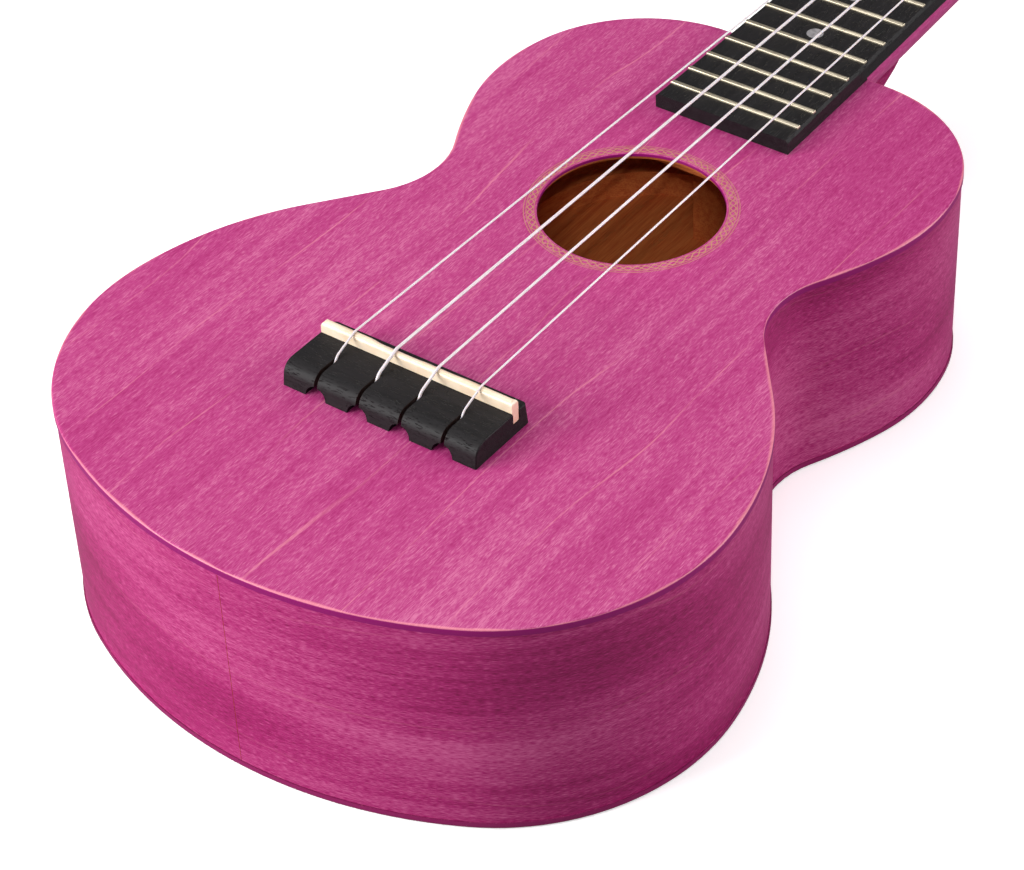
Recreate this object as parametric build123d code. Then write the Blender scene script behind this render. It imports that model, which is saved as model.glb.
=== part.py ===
from build123d import *
import math
import os

# A concert ukulele: a hollow waisted body with a glued soundboard and back, a
# neck with a fretboard and an angled headstock, four strings tied into a slotted
# bridge, and four open geared tuners. Millimetres.
#
# Row frame: the origin is on the outside of the back, straight below the saddle.
# +Y runs from the tail to the headstock, +X to the A string's side, +Z out of
# the soundboard. The back lies flat on Z = 0 and the fretboard is parallel to it.

# ------------------------------------------------------------ scale and frame
SCALE_LENGTH = 380.0  # nut to the twelfth fret, doubled
COMPENSATION = 2.0  # extra string length at the saddle
NUT_Y = SCALE_LENGTH + COMPENSATION
FRET_COUNT = 16
BODY_DEPTH = 68.5  # back to soundboard, at the saddle
TAPER = 1.24  # degrees; the soundboard drops towards the neck

# The soundboard's frame: its outer face is Z = 0, and the saddle is near Y = 0.
BOARD = Location((0, 0, BODY_DEPTH), (-TAPER, 0, 0))

# ---------------------------------------------------------------------- body
# Half of the outline, from the tail's middle round to the neck joint, as
# tangent runs of (radius, turn in degrees). Left turns are positive. A run with
# no radius is straight, and its second value is its length.
TAIL_Y = -84.3
HALF_OUTLINE = (
    (138.5, 27.1),  # shallow tail
    (67.9, 69.9),  # lower bout
    (99.4, 31.4),  # lower bout, flatter towards the waist
    (0, 22.4),  # straight run into the waist
    (28.1, -66.8),  # waist
    (146.0, 9.7),  # waist into the upper bout
    (63.7, 33.3),  # upper bout
    (47.1, 75.4),  # shoulder
)
TOP_THICKNESS = 2.2
BACK_THICKNESS = 2.0
SIDE_THICKNESS = 1.8
OVERHANG = 0.4  # of both plates past the sides
PLATE_EDGE_ROUND = 0.5
LINING_WIDTH = 4.5
LINING_HEIGHT = 9.0
NECK_BLOCK = (50.0, 24.0)  # X, Y
TAIL_BLOCK = (46.0, 12.0)

HOLE_Y = 98.7
HOLE_RADIUS = 27.1
ROSETTE_INNER = 27.7
ROSETTE_OUTER = 31.3
ROSETTE_DEPTH = 0.9

BRACE_WIDTH = 6.0
TOP_BRACE_HEIGHT = 10.0
TOP_BRACE_UPPER_Y = 138.0
TOP_BRACE_LOWER_Y = 60.0
FAN_BRACE = (4.0, 5.0)  # width, height
FAN_ANGLE = 11.0
BRIDGE_PLATE = (88.0, 28.0, 2.0)
BRIDGE_PLATE_Y = -7.0
BACK_BRACE_HEIGHT = 8.0
BACK_BRACE_YS = (122.0, 50.0, -28.0)
BRACE_SCOOP = 0.18  # of its length, at each end
BRACE_END = 0.3  # of its height, left at the ends
BRACE_GAP = 1.0  # between a brace and the linings, both ends together
FAN_SPREAD = 34.0  # between struts, at the saddle
FAN_GAP = 6.0  # left between a strut and what it runs up to, both ends together

# -------------------------------------------------------------------- bridge
BRIDGE_LENGTH = 64.0
BRIDGE_HEIGHT = 7.0
BRIDGE_FRONT_Y = 4.9
BRIDGE_FRONT_LEAN = 0.9
BRIDGE_FLAT_END_Y = -14.4
BRIDGE_LIP = (-18.4, 3.6)  # Y, Z where the rounded rear meets the lip
BRIDGE_REAR_Y = -18.9
BRIDGE_CORNER_ROUND = 1.2
BRIDGE_EDGE_ROUND = 0.4
SADDLE_Y = -0.75
SADDLE_THICKNESS = 2.8
SADDLE_LENGTH = 63.4
SADDLE_SEAT_Z = 3.5
SADDLE_CROWN_Z = 10.4
SADDLE_CROWN_ROUND = 1.2
SADDLE_SLOT_WIDTH = 2.9
KERF_WIDTH = 1.15
KERF_START_Y = -8.3
KERF_FLOOR = (-12.2, 1.8)  # Y, Z where the sloping floor of a kerf ends
COVE_RADIUS = 3.4
COVE_DEPTH = 7.6

# ------------------------------------------------------- neck and fretboard
FRETBOARD_END_Y = 145.3
FRETBOARD_END_HALF = 23.2
NUT_HALF = 17.5
FRETBOARD_TOP_Z = 70.1
FRETBOARD_THICKNESS = 5.0
FRETBOARD_BEVEL = 0.8
NECK_TOP_Z = FRETBOARD_TOP_Z - FRETBOARD_THICKNESS
NECK_DEPTH_AT_NUT = 13.5
NECK_DEPTH_AT_HEEL = 16.5
HEEL_START_Y = 240.0
HEEL_BACK_Y = 186.0  # inside the body, before the heel is cut to fit it
HEEL_REACH = (21.0, 62.0)  # along the neck from there, at the cap and at the top
HEEL_HALF = (12.0, 21.0)
HEEL_CAP_Z = (3.0, 5.0)
FRET_WIDTH = 1.8
FRET_HEIGHT = 0.9
FRET_INSET = 0.7
FRET_DRESSING = 35.0  # degrees that the ends lean in
FRET_TANG = (0.6, 1.6)  # width, depth
TANG_SETBACK = 1.0  # of the tang's ends inside the bead's
DOT_FRETS = (5, 7, 10, 12)
DOT_RADIUS = 2.6
DOT_DEPTH = 1.2
SIDE_DOT_RADIUS = 0.9
NUT_THICKNESS = 5.0
NUT_TOP_Z = FRETBOARD_TOP_Z + 2.5
NUT_SLOT_Z = FRETBOARD_TOP_Z + FRET_HEIGHT + 0.5
NUT_ROUND = 2.0
NUT_BREAK = 0.8  # behind the nut's front face, where a string starts to fall away
NUT_SLOT_EXTRA = 0.15  # width of a slot beyond its string
NUT_SLOT_LENGTH = 30.0
DOWEL_RADIUS = 4.0
DOWEL_LENGTH = 26.0
DOWEL_DEPTHS = (18.0, 36.0)  # below the soundboard's face
DOWEL_SHIFT = 4.0  # of a dowel's middle, into the body

# ----------------------------------------------------------------- headstock
HEAD_ANGLE = 12.0
HEAD_THICKNESS = 13.0
VENEER_THICKNESS = 1.5
HEAD_LENGTH = 130.0
HEAD_CROWN = 7.0  # rise of the curved end
HEAD_HALF_LOW = 30.5
HEAD_HALF_HIGH = 33.5
HEAD_START_Y = -4.0
HEAD_FLARE_Y = 7.0  # where the sides start to widen
HEAD_SHOULDER_Y = 24.0  # where the sides reach HEAD_HALF_LOW
HEAD_TOP_ROUND = 9.0
HEAD_SIDE_ROUND = 12.0
# The headstock's frame: its wooden face is Z = 0, and Y = 0 is behind the nut.
HEAD = Location((0, NUT_Y + NUT_THICKNESS, NECK_TOP_Z), (-HEAD_ANGLE, 0, 0))

# -------------------------------------------------------------------- tuners
POST_RADIUS = 3.0
POST_HEIGHT = 11.0  # above the veneer
RUNNING_CLEARANCE = 0.05
BUSHING_RADIUS = 4.2
BUSHING_DEPTH = 8.0
BUSHING_FLANGE = (5.2, 0.8)  # radius, thickness
TUNER_PLATE = (16.0, 28.0, 1.2)
TUNER_PLATE_SHIFT = -2.0
SCREW_OFFSETS = (-12.8, 8.6)
SCREW_RADIUS = 1.1
SCREW_HEAD_RADIUS = 2.1
SCREW_HEAD_HEIGHT = 1.2
SCREW_LENGTH = 8.0
SCREW_CROSS = (2.4, 0.5, 1.0)  # length, width and depth of the driver's slots
PLATE_CORNER = 4.0
POST_ROUND = 0.8
POST_HOLE_RADIUS = 0.7
MODULE = 0.55
GEAR_TEETH = 16
GEAR_WIDTH = 2.0
GEAR_BORE = 2.0
GEAR_PITCH_RADIUS = MODULE * GEAR_TEETH / 2
DEDENDUM = 0.62
ADDENDUM = 0.42
GEAR_ROOT_RADIUS = GEAR_PITCH_RADIUS - DEDENDUM
GEAR_OUTER_RADIUS = GEAR_PITCH_RADIUS + ADDENDUM
TOOTH_SINK = 0.3  # of a gear tooth into the gear's rim
THREAD_SINK = 0.15  # of the thread into the worm's core
TOOTH_ROOT_WIDTH = 0.84
TOOTH_TIP_WIDTH = 0.34
WORM_PITCH = math.pi * MODULE
WORM_PITCH_RADIUS = 2.6
WORM_CORE_RADIUS = 2.0
WORM_OUTER_RADIUS = WORM_PITCH_RADIUS + ADDENDUM
WORM_END_GAP = 0.12  # between the worm and each ear
THREAD_ROOT_WIDTH = 0.9
THREAD_TIP_WIDTH = 0.4
THREAD_TURNS = 5
WORM_DISTANCE = GEAR_PITCH_RADIUS + WORM_PITCH_RADIUS
WORM_Z = -4.8  # below the headstock's back
SHAFT_RADIUS = 1.5
EAR_INNER = 6.3
EAR_THICKNESS = 1.2
EAR_RADIUS = 3.0
JOURNAL_END = 0.6  # of the shaft past the inner ear
SHAFT_END = 22.0
BUTTON_START = 15.8
BUTTON_CENTRE = 23.5
BUTTON_RADII = (6.0, 7.2)
BUTTON_THICKNESS = 6.0
BUTTON_ROUND = 2.2
BUTTON_COLLAR_RADIUS = 2.8
GEAR_SCREW_HEAD = (2.6, 1.2)
GEAR_SCREW_SHANK = (0.8, 5.0)
GEAR_SCREW_SLOT = (8.0, 0.6, 0.9)
FLANGE_ROUND = 0.3
GEAR_SCREW_ROUND = 0.4

# ------------------------------------------------------------------- strings
STRING_SPACING_SADDLE = 14.0
STRING_SPACING_NUT = 9.43
STRING_LIFT = 0.16  # of a bend's corner above what the string rests on
STRING_BEND = 3.0
STRING_GAP = 0.1  # from the post, and from the turns below
KNOT = (-13.3, 1.6)  # Y, Z on the soundboard
KNOT_RADIUS = 1.4
KERF_EXIT = (-8.5, 7.9)
WRAP_TURNS = 2
WRAP_HEIGHT = 2.6  # of the lowest turn above the veneer
WRAP_ARC = 290.0
POST_HOLE_HEIGHT = 8.6
STRING_END = 2.5  # past the post, each way
# name: place across the strings, radius, X and Y of the post on the headstock
STRINGS = {
    "g": (-1.5, 0.325, -19.5, 38.0),
    "c": (-0.5, 0.45, -21.5, 86.0),
    "e": (0.5, 0.40, 21.5, 86.0),
    "a": (1.5, 0.30, 19.5, 38.0),
}

FAR = 400.0  # longer than anything that a cutting block has to pass
LOW = (Align.CENTER, Align.CENTER, Align.MAX)
HIGH = (Align.CENTER, Align.CENTER, Align.MIN)


# ------------------------------------------------------------ shared helpers
def half_outline(inset):
    """Edges of half the body's outline, moved in by inset."""
    point = Vector(0, TAIL_Y + inset)
    heading = Vector(1, 0)
    edges = []
    for radius, amount in HALF_OUTLINE:
        if radius:
            moved = radius - inset * math.copysign(1.0, amount)
            edge = JernArc(point, heading, moved, amount)
        else:
            edge = Line(point, point + heading * amount)
        edges.append(edge)
        point = edge @ 1
        heading = edge % 1
    edges.append(Line(point, Vector(0, point.Y)))
    return edges


BODY_END_Y = (half_outline(0)[-1] @ 1).Y


def body_prism(inset, low, high):
    """The body's outline moved in by inset, between two soundboard heights."""
    half = Curve() + half_outline(inset)
    face = make_face(half + mirror(half, Plane.YZ))
    return BOARD * Pos(0, 0, low) * extrude(face, high - low, dir=(0, 0, 1))


def below(height):
    """A block that fills everything under a height of the row frame."""
    return Pos(0, 0, height) * Box(FAR, 4 * FAR, FAR, align=LOW)


def slab(low, high):
    """A layer of the row frame."""
    return Pos(0, 0, low) * Box(FAR, 4 * FAR, high - low, align=HIGH)


def board_point(x, y, z):
    """A point of the soundboard's frame, in the row frame."""
    return (BOARD * Pos(x, y, z)).position


def head_point(x, y, z):
    """A point of the headstock's frame, in the row frame."""
    return (HEAD * Pos(x, y, z)).position


def fret_y(number):
    """Where a fret crosses the neck; number 0 is the nut."""
    return COMPENSATION + SCALE_LENGTH / 2 ** (number / 12)


def neck_half(y):
    """Half the width of the neck and the fretboard."""
    share = (y - FRETBOARD_END_Y) / (NUT_Y - FRETBOARD_END_Y)
    return FRETBOARD_END_HALF + share * (NUT_HALF - FRETBOARD_END_HALF)


# ---------------------------------------------------------------------- body
INNER_DEPTH = -BODY_DEPTH - 12.0
OUTER_BODY = body_prism(0, INNER_DEPTH, -TOP_THICKNESS)
INNER_BODY = body_prism(SIDE_THICKNESS, INNER_DEPTH, -TOP_THICKNESS)
LINED_BODY = body_prism(SIDE_THICKNESS + LINING_WIDTH, INNER_DEPTH, -TOP_THICKNESS)
FLOOR = below(BACK_THICKNESS)


def rosette():
    """The inlaid ring round the sound hole, flush with the soundboard."""
    ring = Cylinder(ROSETTE_OUTER, ROSETTE_DEPTH, align=LOW)
    ring -= Cylinder(ROSETTE_INNER, ROSETTE_DEPTH, align=LOW)
    return BOARD * Pos(0, HOLE_Y, 0) * ring


def soundboard():
    """The top plate, with the sound hole and the rosette's channel."""
    plate = body_prism(-OVERHANG, -TOP_THICKNESS, 0)
    plate = fillet(plate.faces().sort_by(Axis.Z)[-1].edges(), PLATE_EDGE_ROUND)
    plate -= BOARD * Pos(0, HOLE_Y, 0) * Cylinder(HOLE_RADIUS, 4 * TOP_THICKNESS)
    return plate - rosette()


def back_plate():
    """The back plate, which the body lies on."""
    plate = body_prism(-OVERHANG, INNER_DEPTH, -BODY_DEPTH / 2) & slab(0, BACK_THICKNESS)
    return fillet(plate.faces().sort_by(Axis.Z)[0].edges(), PLATE_EDGE_ROUND)


def sides():
    """The two bent sides, which meet at the tail and behind the heel."""
    shell = OUTER_BODY - INNER_BODY - FLOOR - dowels()
    half = Box(FAR, 4 * FAR, FAR, align=(Align.MIN, Align.CENTER, Align.CENTER))
    return shell & mirror(half, Plane.YZ), shell & half


def block(size, y, towards):
    """An end block against the inside of the sides."""
    bar = Pos(0, y, 0) * Box(size[0], size[1], FAR, align=(Align.CENTER, towards, Align.CENTER))
    return INNER_BODY & (BOARD * bar)


def neck_block():
    """The block that the neck's dowels go into."""
    return block(NECK_BLOCK, BODY_END_Y, Align.MAX) - FLOOR - dowels()


def tail_block():
    """The block behind the seam at the tail."""
    return block(TAIL_BLOCK, TAIL_Y, Align.MIN) - FLOOR


def linings():
    """The strips that give the plates a wider glue edge, top and back."""
    ring = INNER_BODY - LINED_BODY
    ring -= block(NECK_BLOCK, BODY_END_Y, Align.MAX) + block(TAIL_BLOCK, TAIL_Y, Align.MIN)
    top = ring & body_prism(0, -TOP_THICKNESS - LINING_HEIGHT, -TOP_THICKNESS)
    back = ring & slab(BACK_THICKNESS, BACK_THICKNESS + LINING_HEIGHT)
    return top, back


def brace(span, width, height):
    """A bar along X on Z = 0, with scooped ends and a rounded ridge."""
    half = span / 2
    crest = half - span * BRACE_SCOOP
    end = height * BRACE_END
    corners = [(-half, 0), (half, 0), (half, end), (crest, height), (-crest, height), (-half, end)]
    outline = Polyline(*corners, close=True)
    bar = extrude(Plane.XZ * make_face(outline), width / 2, both=True)
    ridge = bar.faces().sort_by(Axis.Z)[-1].edges().filter_by(Axis.X)
    return fillet(ridge, width * 0.4)


def inside_span(y):
    """The clear width between the linings at a place along the body."""
    spans = []
    for shift in (-BRACE_WIDTH, BRACE_WIDTH):
        strip = LINED_BODY & (Pos(0, y + shift, 0) * Box(FAR, 0.1, FAR))
        spans.append(strip.bounding_box().size.X)
    return min(spans) - BRACE_GAP


def top_brace(y):
    """A transverse brace under the soundboard."""
    bar = brace(inside_span(y), BRACE_WIDTH, TOP_BRACE_HEIGHT)
    return BOARD * Pos(0, y, -TOP_THICKNESS) * Rot(180, 0, 0) * bar


def back_braces():
    """The transverse braces on the back."""
    bars = []
    for y in BACK_BRACE_YS:
        bar = brace(inside_span(y), BRACE_WIDTH, BACK_BRACE_HEIGHT)
        bars.append(Pos(0, y, BACK_THICKNESS) * bar)
    return Compound(children=bars)


def bridge_plate():
    """The plate that spreads the bridge's load under the soundboard."""
    plate = Box(*BRIDGE_PLATE, align=LOW)
    return BOARD * Pos(0, BRIDGE_PLATE_Y, -TOP_THICKNESS) * plate


def fan_braces():
    """Three fanned struts, each in two lengths, before and behind the bridge plate."""
    front = (BRIDGE_PLATE_Y + BRIDGE_PLATE[1] / 2, TOP_BRACE_LOWER_Y - BRACE_WIDTH / 2)
    rear = (TAIL_Y + TAIL_BLOCK[1] + SIDE_THICKNESS, BRIDGE_PLATE_Y - BRIDGE_PLATE[1] / 2)
    struts = []
    for low, high in (front, rear):
        bar = Rot(180, 0, 90) * brace(high - low - FAN_GAP, *FAN_BRACE)
        middle = (low + high) / 2
        for side in (-1, 0, 1):
            x = side * (FAN_SPREAD - math.tan(math.radians(FAN_ANGLE)) * middle)
            strut = Pos(x, middle, -TOP_THICKNESS) * Rot(0, 0, side * FAN_ANGLE) * bar
            struts.append(BOARD * strut)
    return Compound(children=struts)


# -------------------------------------------------------------------- bridge
def bridge():
    """The slotted bridge: a flat top, a rounded rear, four kerfs and coves."""
    front_top = BRIDGE_FRONT_Y - BRIDGE_FRONT_LEAN
    flat = Line((front_top, BRIDGE_HEIGHT), (BRIDGE_FLAT_END_Y, BRIDGE_HEIGHT))
    roll = TangentArc((BRIDGE_FLAT_END_Y, BRIDGE_HEIGHT), BRIDGE_LIP, tangent=(-1, 0))
    lip = Line(BRIDGE_LIP, (BRIDGE_REAR_Y, 0))
    base = Line((BRIDGE_REAR_Y, 0), (BRIDGE_FRONT_Y, 0))
    front = Line((BRIDGE_FRONT_Y, 0), (front_top, BRIDGE_HEIGHT))
    profile = make_face(Curve() + [flat, roll, lip, base, front])
    body = extrude(Plane.YZ * profile, BRIDGE_LENGTH / 2, both=True)
    corners = body.edges().filter_by(Axis.X, reverse=True).sort_by(Axis.Y)[-2:]
    body = fillet(corners, BRIDGE_CORNER_ROUND)
    body = fillet(body.edges().group_by(Axis.Z)[-1].sort_by(Axis.Y)[-3:], BRIDGE_EDGE_ROUND)
    slot = Box(2 * BRIDGE_LENGTH, SADDLE_SLOT_WIDTH, BRIDGE_HEIGHT, align=HIGH)
    body -= Pos(0, SADDLE_Y, SADDLE_SEAT_Z) * slot
    tall = 2 * BRIDGE_HEIGHT
    far = 2 * BRIDGE_REAR_Y
    floor = [(KERF_START_Y, BRIDGE_HEIGHT), KERF_FLOOR, (far, KERF_FLOOR[1])]
    outline = Polyline(*floor, (far, tall), (KERF_START_Y, tall), close=True)
    kerf = extrude(Plane.YZ * make_face(outline), KERF_WIDTH / 2, both=True)
    cove = Rot(90, 0, 0) * Cylinder(COVE_RADIUS, 2 * COVE_DEPTH)
    for place, _, _, _ in STRINGS.values():
        x = place * STRING_SPACING_SADDLE
        body -= Pos(x, 0, 0) * kerf
        body -= Pos(x, BRIDGE_REAR_Y, 0) * cove
    return BOARD * body


def saddle():
    """The saddle, a bar with a rounded crown."""
    height = SADDLE_CROWN_Z - SADDLE_SEAT_Z
    bar = Box(SADDLE_LENGTH, SADDLE_THICKNESS, height, align=HIGH)
    bar = fillet(bar.faces().sort_by(Axis.Z)[-1].edges().filter_by(Axis.X), SADDLE_CROWN_ROUND)
    return BOARD * Pos(0, SADDLE_Y, SADDLE_SEAT_Z) * bar


# ---------------------------------------------------------------------- neck
def half_oval(plane, half, depth, fullness):
    """A flat edge along the plane's X, with a curved belly hanging depth below it."""
    flat = Line((-half, 0), (half, 0))
    right = Bezier((half, 0), (half * fullness, -0.58 * depth), (half * 0.6, -depth), (0, -depth))
    left = Bezier((0, -depth), (-half * 0.6, -depth), (-half * fullness, -0.58 * depth), (-half, 0))
    return plane * make_face(Curve() + [flat, right, left])


def neck_shaft():
    """The neck from the nut into the body, lofted through its cross-sections."""
    sections = []
    for y in (NUT_Y + NUT_THICKNESS, HEEL_START_Y, HEEL_BACK_Y):
        share = (NUT_Y + NUT_THICKNESS - y) / (NUT_Y + NUT_THICKNESS - HEEL_START_Y)
        depth = NECK_DEPTH_AT_NUT + share * (NECK_DEPTH_AT_HEEL - NECK_DEPTH_AT_NUT)
        across = Plane((0, y, NECK_TOP_Z), x_dir=(1, 0, 0), z_dir=(0, -1, 0))
        sections.append(half_oval(across, neck_half(y), depth, 1.0))
    return loft(sections)


def heel():
    """The heel: level half ovals that reach further out as they rise to the neck."""
    low = HEEL_CAP_Z[0]
    top = NECK_TOP_Z - 0.75 * NECK_DEPTH_AT_HEEL
    sections = []
    for share in (-0.05, 0.25, 0.5, 0.7, 0.85, 0.95, 1.0):
        rise = max(share, 0)
        flare = 1 - math.sqrt(1 - min(rise, 0.985) ** 2)
        reach = HEEL_REACH[0] + (HEEL_REACH[1] - HEEL_REACH[0]) * flare
        half = HEEL_HALF[0] + (HEEL_HALF[1] - HEEL_HALF[0]) * rise**1.3
        height = low + share * (top - low)
        level = Plane((0, HEEL_BACK_Y, height), x_dir=(1, 0, 0), z_dir=(0, 0, -1))
        sections.append(half_oval(level, half, reach, 0.95))
    return loft(sections)


def head_outline():
    """The headstock's plan shape on its own face."""
    side = [(NUT_HALF, HEAD_START_Y), (NUT_HALF, HEAD_FLARE_Y)]
    side += [(HEAD_HALF_LOW, HEAD_SHOULDER_Y), (HEAD_HALF_HIGH, HEAD_LENGTH)]
    other = [(-x, y) for x, y in reversed(side)]
    top = ThreePointArc(side[-1], (0, HEAD_LENGTH + HEAD_CROWN), other[0])
    face = make_face(Curve() + [top, Polyline(*other, *side)])
    rounds = ((HEAD_LENGTH, HEAD_TOP_ROUND), (HEAD_SHOULDER_Y, HEAD_SIDE_ROUND))
    for y, radius in (*rounds, (HEAD_FLARE_Y, HEAD_SIDE_ROUND)):
        corners = face.vertices().filter_by_position(Axis.Y, y - 1, y + 1)
        face = fillet(corners, radius)
    return face


def neck():
    """The neck: shaft, heel and headstock in one piece."""
    head = HEAD * Pos(0, 0, -HEAD_THICKNESS) * extrude(head_outline(), HEAD_THICKNESS, dir=(0, 0, 1))
    head -= Pos(0, NUT_Y, NECK_TOP_Z) * Box(FAR, 2 * NUT_THICKNESS, FAR, align=HIGH)
    wood = neck_shaft() + heel() + head
    wood -= body_prism(0, INNER_DEPTH, FRETBOARD_THICKNESS) + body_prism(-OVERHANG, -TOP_THICKNESS, 0)
    wood -= body_prism(-OVERHANG, INNER_DEPTH, -BODY_DEPTH / 2) & below(BACK_THICKNESS)
    wood -= below(HEEL_CAP_Z[1])
    wood -= dowels()
    for _, _, x, y in STRINGS.values():
        wood -= HEAD * Pos(x, y, 0) * Cylinder(BUSHING_RADIUS, 4 * HEAD_THICKNESS)
    for screw in tuner_screw_list():
        wood -= screw
    return wood


def heel_cap():
    """The thin cap on the end of the heel."""
    low, high = HEEL_CAP_Z
    cap = heel() & slab(low, high)
    return cap - body_prism(0, INNER_DEPTH, 0)


def headstock_veneer():
    """The thin face of the headstock."""
    sheet = HEAD * extrude(head_outline(), VENEER_THICKNESS, dir=(0, 0, 1))
    sheet -= Pos(0, NUT_Y, 0) * Box(FAR, 2 * NUT_THICKNESS, FAR)
    for _, _, x, y in STRINGS.values():
        sheet -= HEAD * Pos(x, y, 0) * Cylinder(BUSHING_RADIUS, 4 * HEAD_THICKNESS)
    return sheet


def dowels():
    """The two dowels that pin the heel to the neck block."""
    pins = []
    for depth in DOWEL_DEPTHS:
        pin = Rot(90, 0, 0) * Cylinder(DOWEL_RADIUS, DOWEL_LENGTH)
        pins.append(BOARD * Pos(0, BODY_END_Y - DOWEL_SHIFT, -depth) * pin)
    return Compound(children=pins)


# ----------------------------------------------------------------- fretboard
def fret(number):
    """One fret: a domed bead with dressed ends, and its tang."""
    y = fret_y(number)
    half = neck_half(y) - FRET_INSET
    upper = Rectangle(FRET_WIDTH, FRET_HEIGHT, align=(Align.CENTER, Align.MIN))
    dome = Ellipse(FRET_WIDTH / 2, FRET_HEIGHT) & upper
    bead = extrude(Plane.YZ * dome, half, both=True)
    for side, outward in ((-1, Align.MAX), (1, Align.MIN)):
        align = (outward, Align.CENTER, Align.CENTER)
        wedge = Box(FRET_WIDTH, 4 * FRET_WIDTH, 8 * FRET_HEIGHT, align=align)
        bead -= Pos(side * half, 0, 0) * Rot(0, side * -FRET_DRESSING, 0) * wedge
    return Pos(0, y, FRETBOARD_TOP_Z) * bead + fret_tang(number)


def fret_tang(number):
    """The tang that holds a fret, which fills its sawn slot in the fretboard."""
    y = fret_y(number)
    width, depth = FRET_TANG
    length = 2 * (neck_half(y) - FRET_INSET - TANG_SETBACK)
    return Pos(0, y, FRETBOARD_TOP_Z) * Box(length, width, depth, align=LOW)


def frets():
    """All the frets."""
    return Compound(children=[fret(number) for number in range(1, FRET_COUNT + 1)])


def position_dots():
    """The inlaid dots on the fretboard's face."""
    dots = []
    for number in DOT_FRETS:
        y = (fret_y(number) + fret_y(number - 1)) / 2
        dots.append(Pos(0, y, FRETBOARD_TOP_Z) * Cylinder(DOT_RADIUS, DOT_DEPTH, align=LOW))
    return Compound(children=dots)


def side_dot_pins():
    """Small pins through the player's edge of the fretboard."""
    dots = []
    for number in DOT_FRETS:
        y = (fret_y(number) + fret_y(number - 1)) / 2
        pin = Rot(0, 90, 0) * Cylinder(SIDE_DOT_RADIUS, 2 * DOT_DEPTH)
        dots.append(Pos(-neck_half(y), y, FRETBOARD_TOP_Z - FRETBOARD_THICKNESS / 2) * pin)
    return Compound(children=dots)


def fretboard_blank():
    """The tapered board, before it is slotted for the frets."""
    corners = [(-FRETBOARD_END_HALF, FRETBOARD_END_Y), (FRETBOARD_END_HALF, FRETBOARD_END_Y)]
    corners += [(NUT_HALF, NUT_Y), (-NUT_HALF, NUT_Y)]
    thickness = 2 * FRETBOARD_THICKNESS
    board = extrude(make_face(Polyline(*corners, close=True)), thickness, dir=(0, 0, 1))
    board = Pos(0, 0, FRETBOARD_TOP_Z - thickness) * board
    long_edges = board.faces().sort_by(Axis.Z)[-1].edges().filter_by(Axis.X, reverse=True)
    board = chamfer(long_edges, FRETBOARD_BEVEL)
    under_board = Box(FAR, FAR, FAR, align=(Align.CENTER, Align.MAX, Align.MAX))
    board -= BOARD * Pos(0, BODY_END_Y + OVERHANG, 0) * under_board
    over_neck = Box(FAR, FAR, FAR, align=(Align.CENTER, Align.MIN, Align.MAX))
    return board - Pos(0, BODY_END_Y - 0.1, NECK_TOP_Z) * over_neck


def fretboard():
    """The fretboard, which runs over the soundboard to the sound hole's edge."""
    board = fretboard_blank() - position_dots() - side_dot_pins()
    for number in range(1, FRET_COUNT + 1):
        board -= fret_tang(number)
    return board


def side_dots():
    """The side dots, cut flush with the fretboard's edge."""
    return side_dot_pins() & fretboard_blank()


# ------------------------------------------------------------------- strings
def string_bends(name):
    """The corners of a string's route, from its knot to the post."""
    place, radius, post_x, post_y = STRINGS[name]
    x = place * STRING_SPACING_SADDLE
    nut_z = NUT_SLOT_Z + radius + STRING_LIFT
    nut = Vector(place * STRING_SPACING_NUT, NUT_Y + NUT_BREAK, nut_z)
    wind = POST_RADIUS + STRING_GAP + radius
    height = VENEER_THICKNESS + WRAP_HEIGHT + 2 * radius * WRAP_TURNS + STRING_GAP + radius
    start = (HEAD.inverse() * Pos(*nut)).position
    away = Vector(post_x - start.X, post_y - start.Y)
    reach = math.sqrt(away.length**2 - wind**2)
    turn = math.degrees(math.asin(wind / away.length)) * math.copysign(1, -post_x)
    tangent = Vector(start.X, start.Y) + away.normalized().rotate(Axis.Z, -turn) * reach
    post = head_point(tangent.X, tangent.Y, height)
    knot = board_point(x, *KNOT)
    kerf = board_point(x, *KERF_EXIT)
    crown = board_point(x, SADDLE_Y, SADDLE_CROWN_Z + radius + STRING_LIFT)
    return [knot, kerf, crown, nut, post], wind


def string(name):
    """One string: a knot behind the bridge, the speaking length and a turn at the post."""
    _, radius, post_x, _ = STRINGS[name]
    bends, wind = string_bends(name)
    run = FilletPolyline(*bends, radius=STRING_BEND)
    ahead = (bends[-1] - bends[-2]).normalized()
    up = head_point(0, 0, 1) - head_point(0, 0, 0)
    inward = up.cross(ahead).normalized() * math.copysign(1, -post_x)
    centre = bends[-1] + inward * wind
    turn = []
    for angle in (WRAP_ARC / 2, WRAP_ARC):
        across = inward * (-wind * math.cos(math.radians(angle)))
        along = ahead * (wind * math.sin(math.radians(angle)))
        turn.append(centre + across + along)
    wrap = ThreePointArc(bends[-1], turn[0], turn[1])
    path = Curve() + [run, wrap]
    start = Plane(bends[0], z_dir=bends[1] - bends[0])
    gut = sweep(start * Circle(radius), path=path.wire())
    return gut + Pos(*bends[0]) * Sphere(KNOT_RADIUS)


def string_wraps(name):
    """The turns that go round with the post, and the end through its hole."""
    _, radius, x, y = STRINGS[name]
    turns = []
    for layer in range(WRAP_TURNS):
        height = VENEER_THICKNESS + WRAP_HEIGHT + radius * (1 + 2 * layer)
        turns.append(HEAD * Pos(x, y, height) * Torus(POST_RADIUS + radius, radius))
    end = Rot(0, 90, 0) * Cylinder(radius, 2 * (POST_RADIUS + STRING_END))
    turns.append(HEAD * Pos(x, y, VENEER_THICKNESS + POST_HOLE_HEIGHT) * end)
    return Compound(children=turns)


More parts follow.
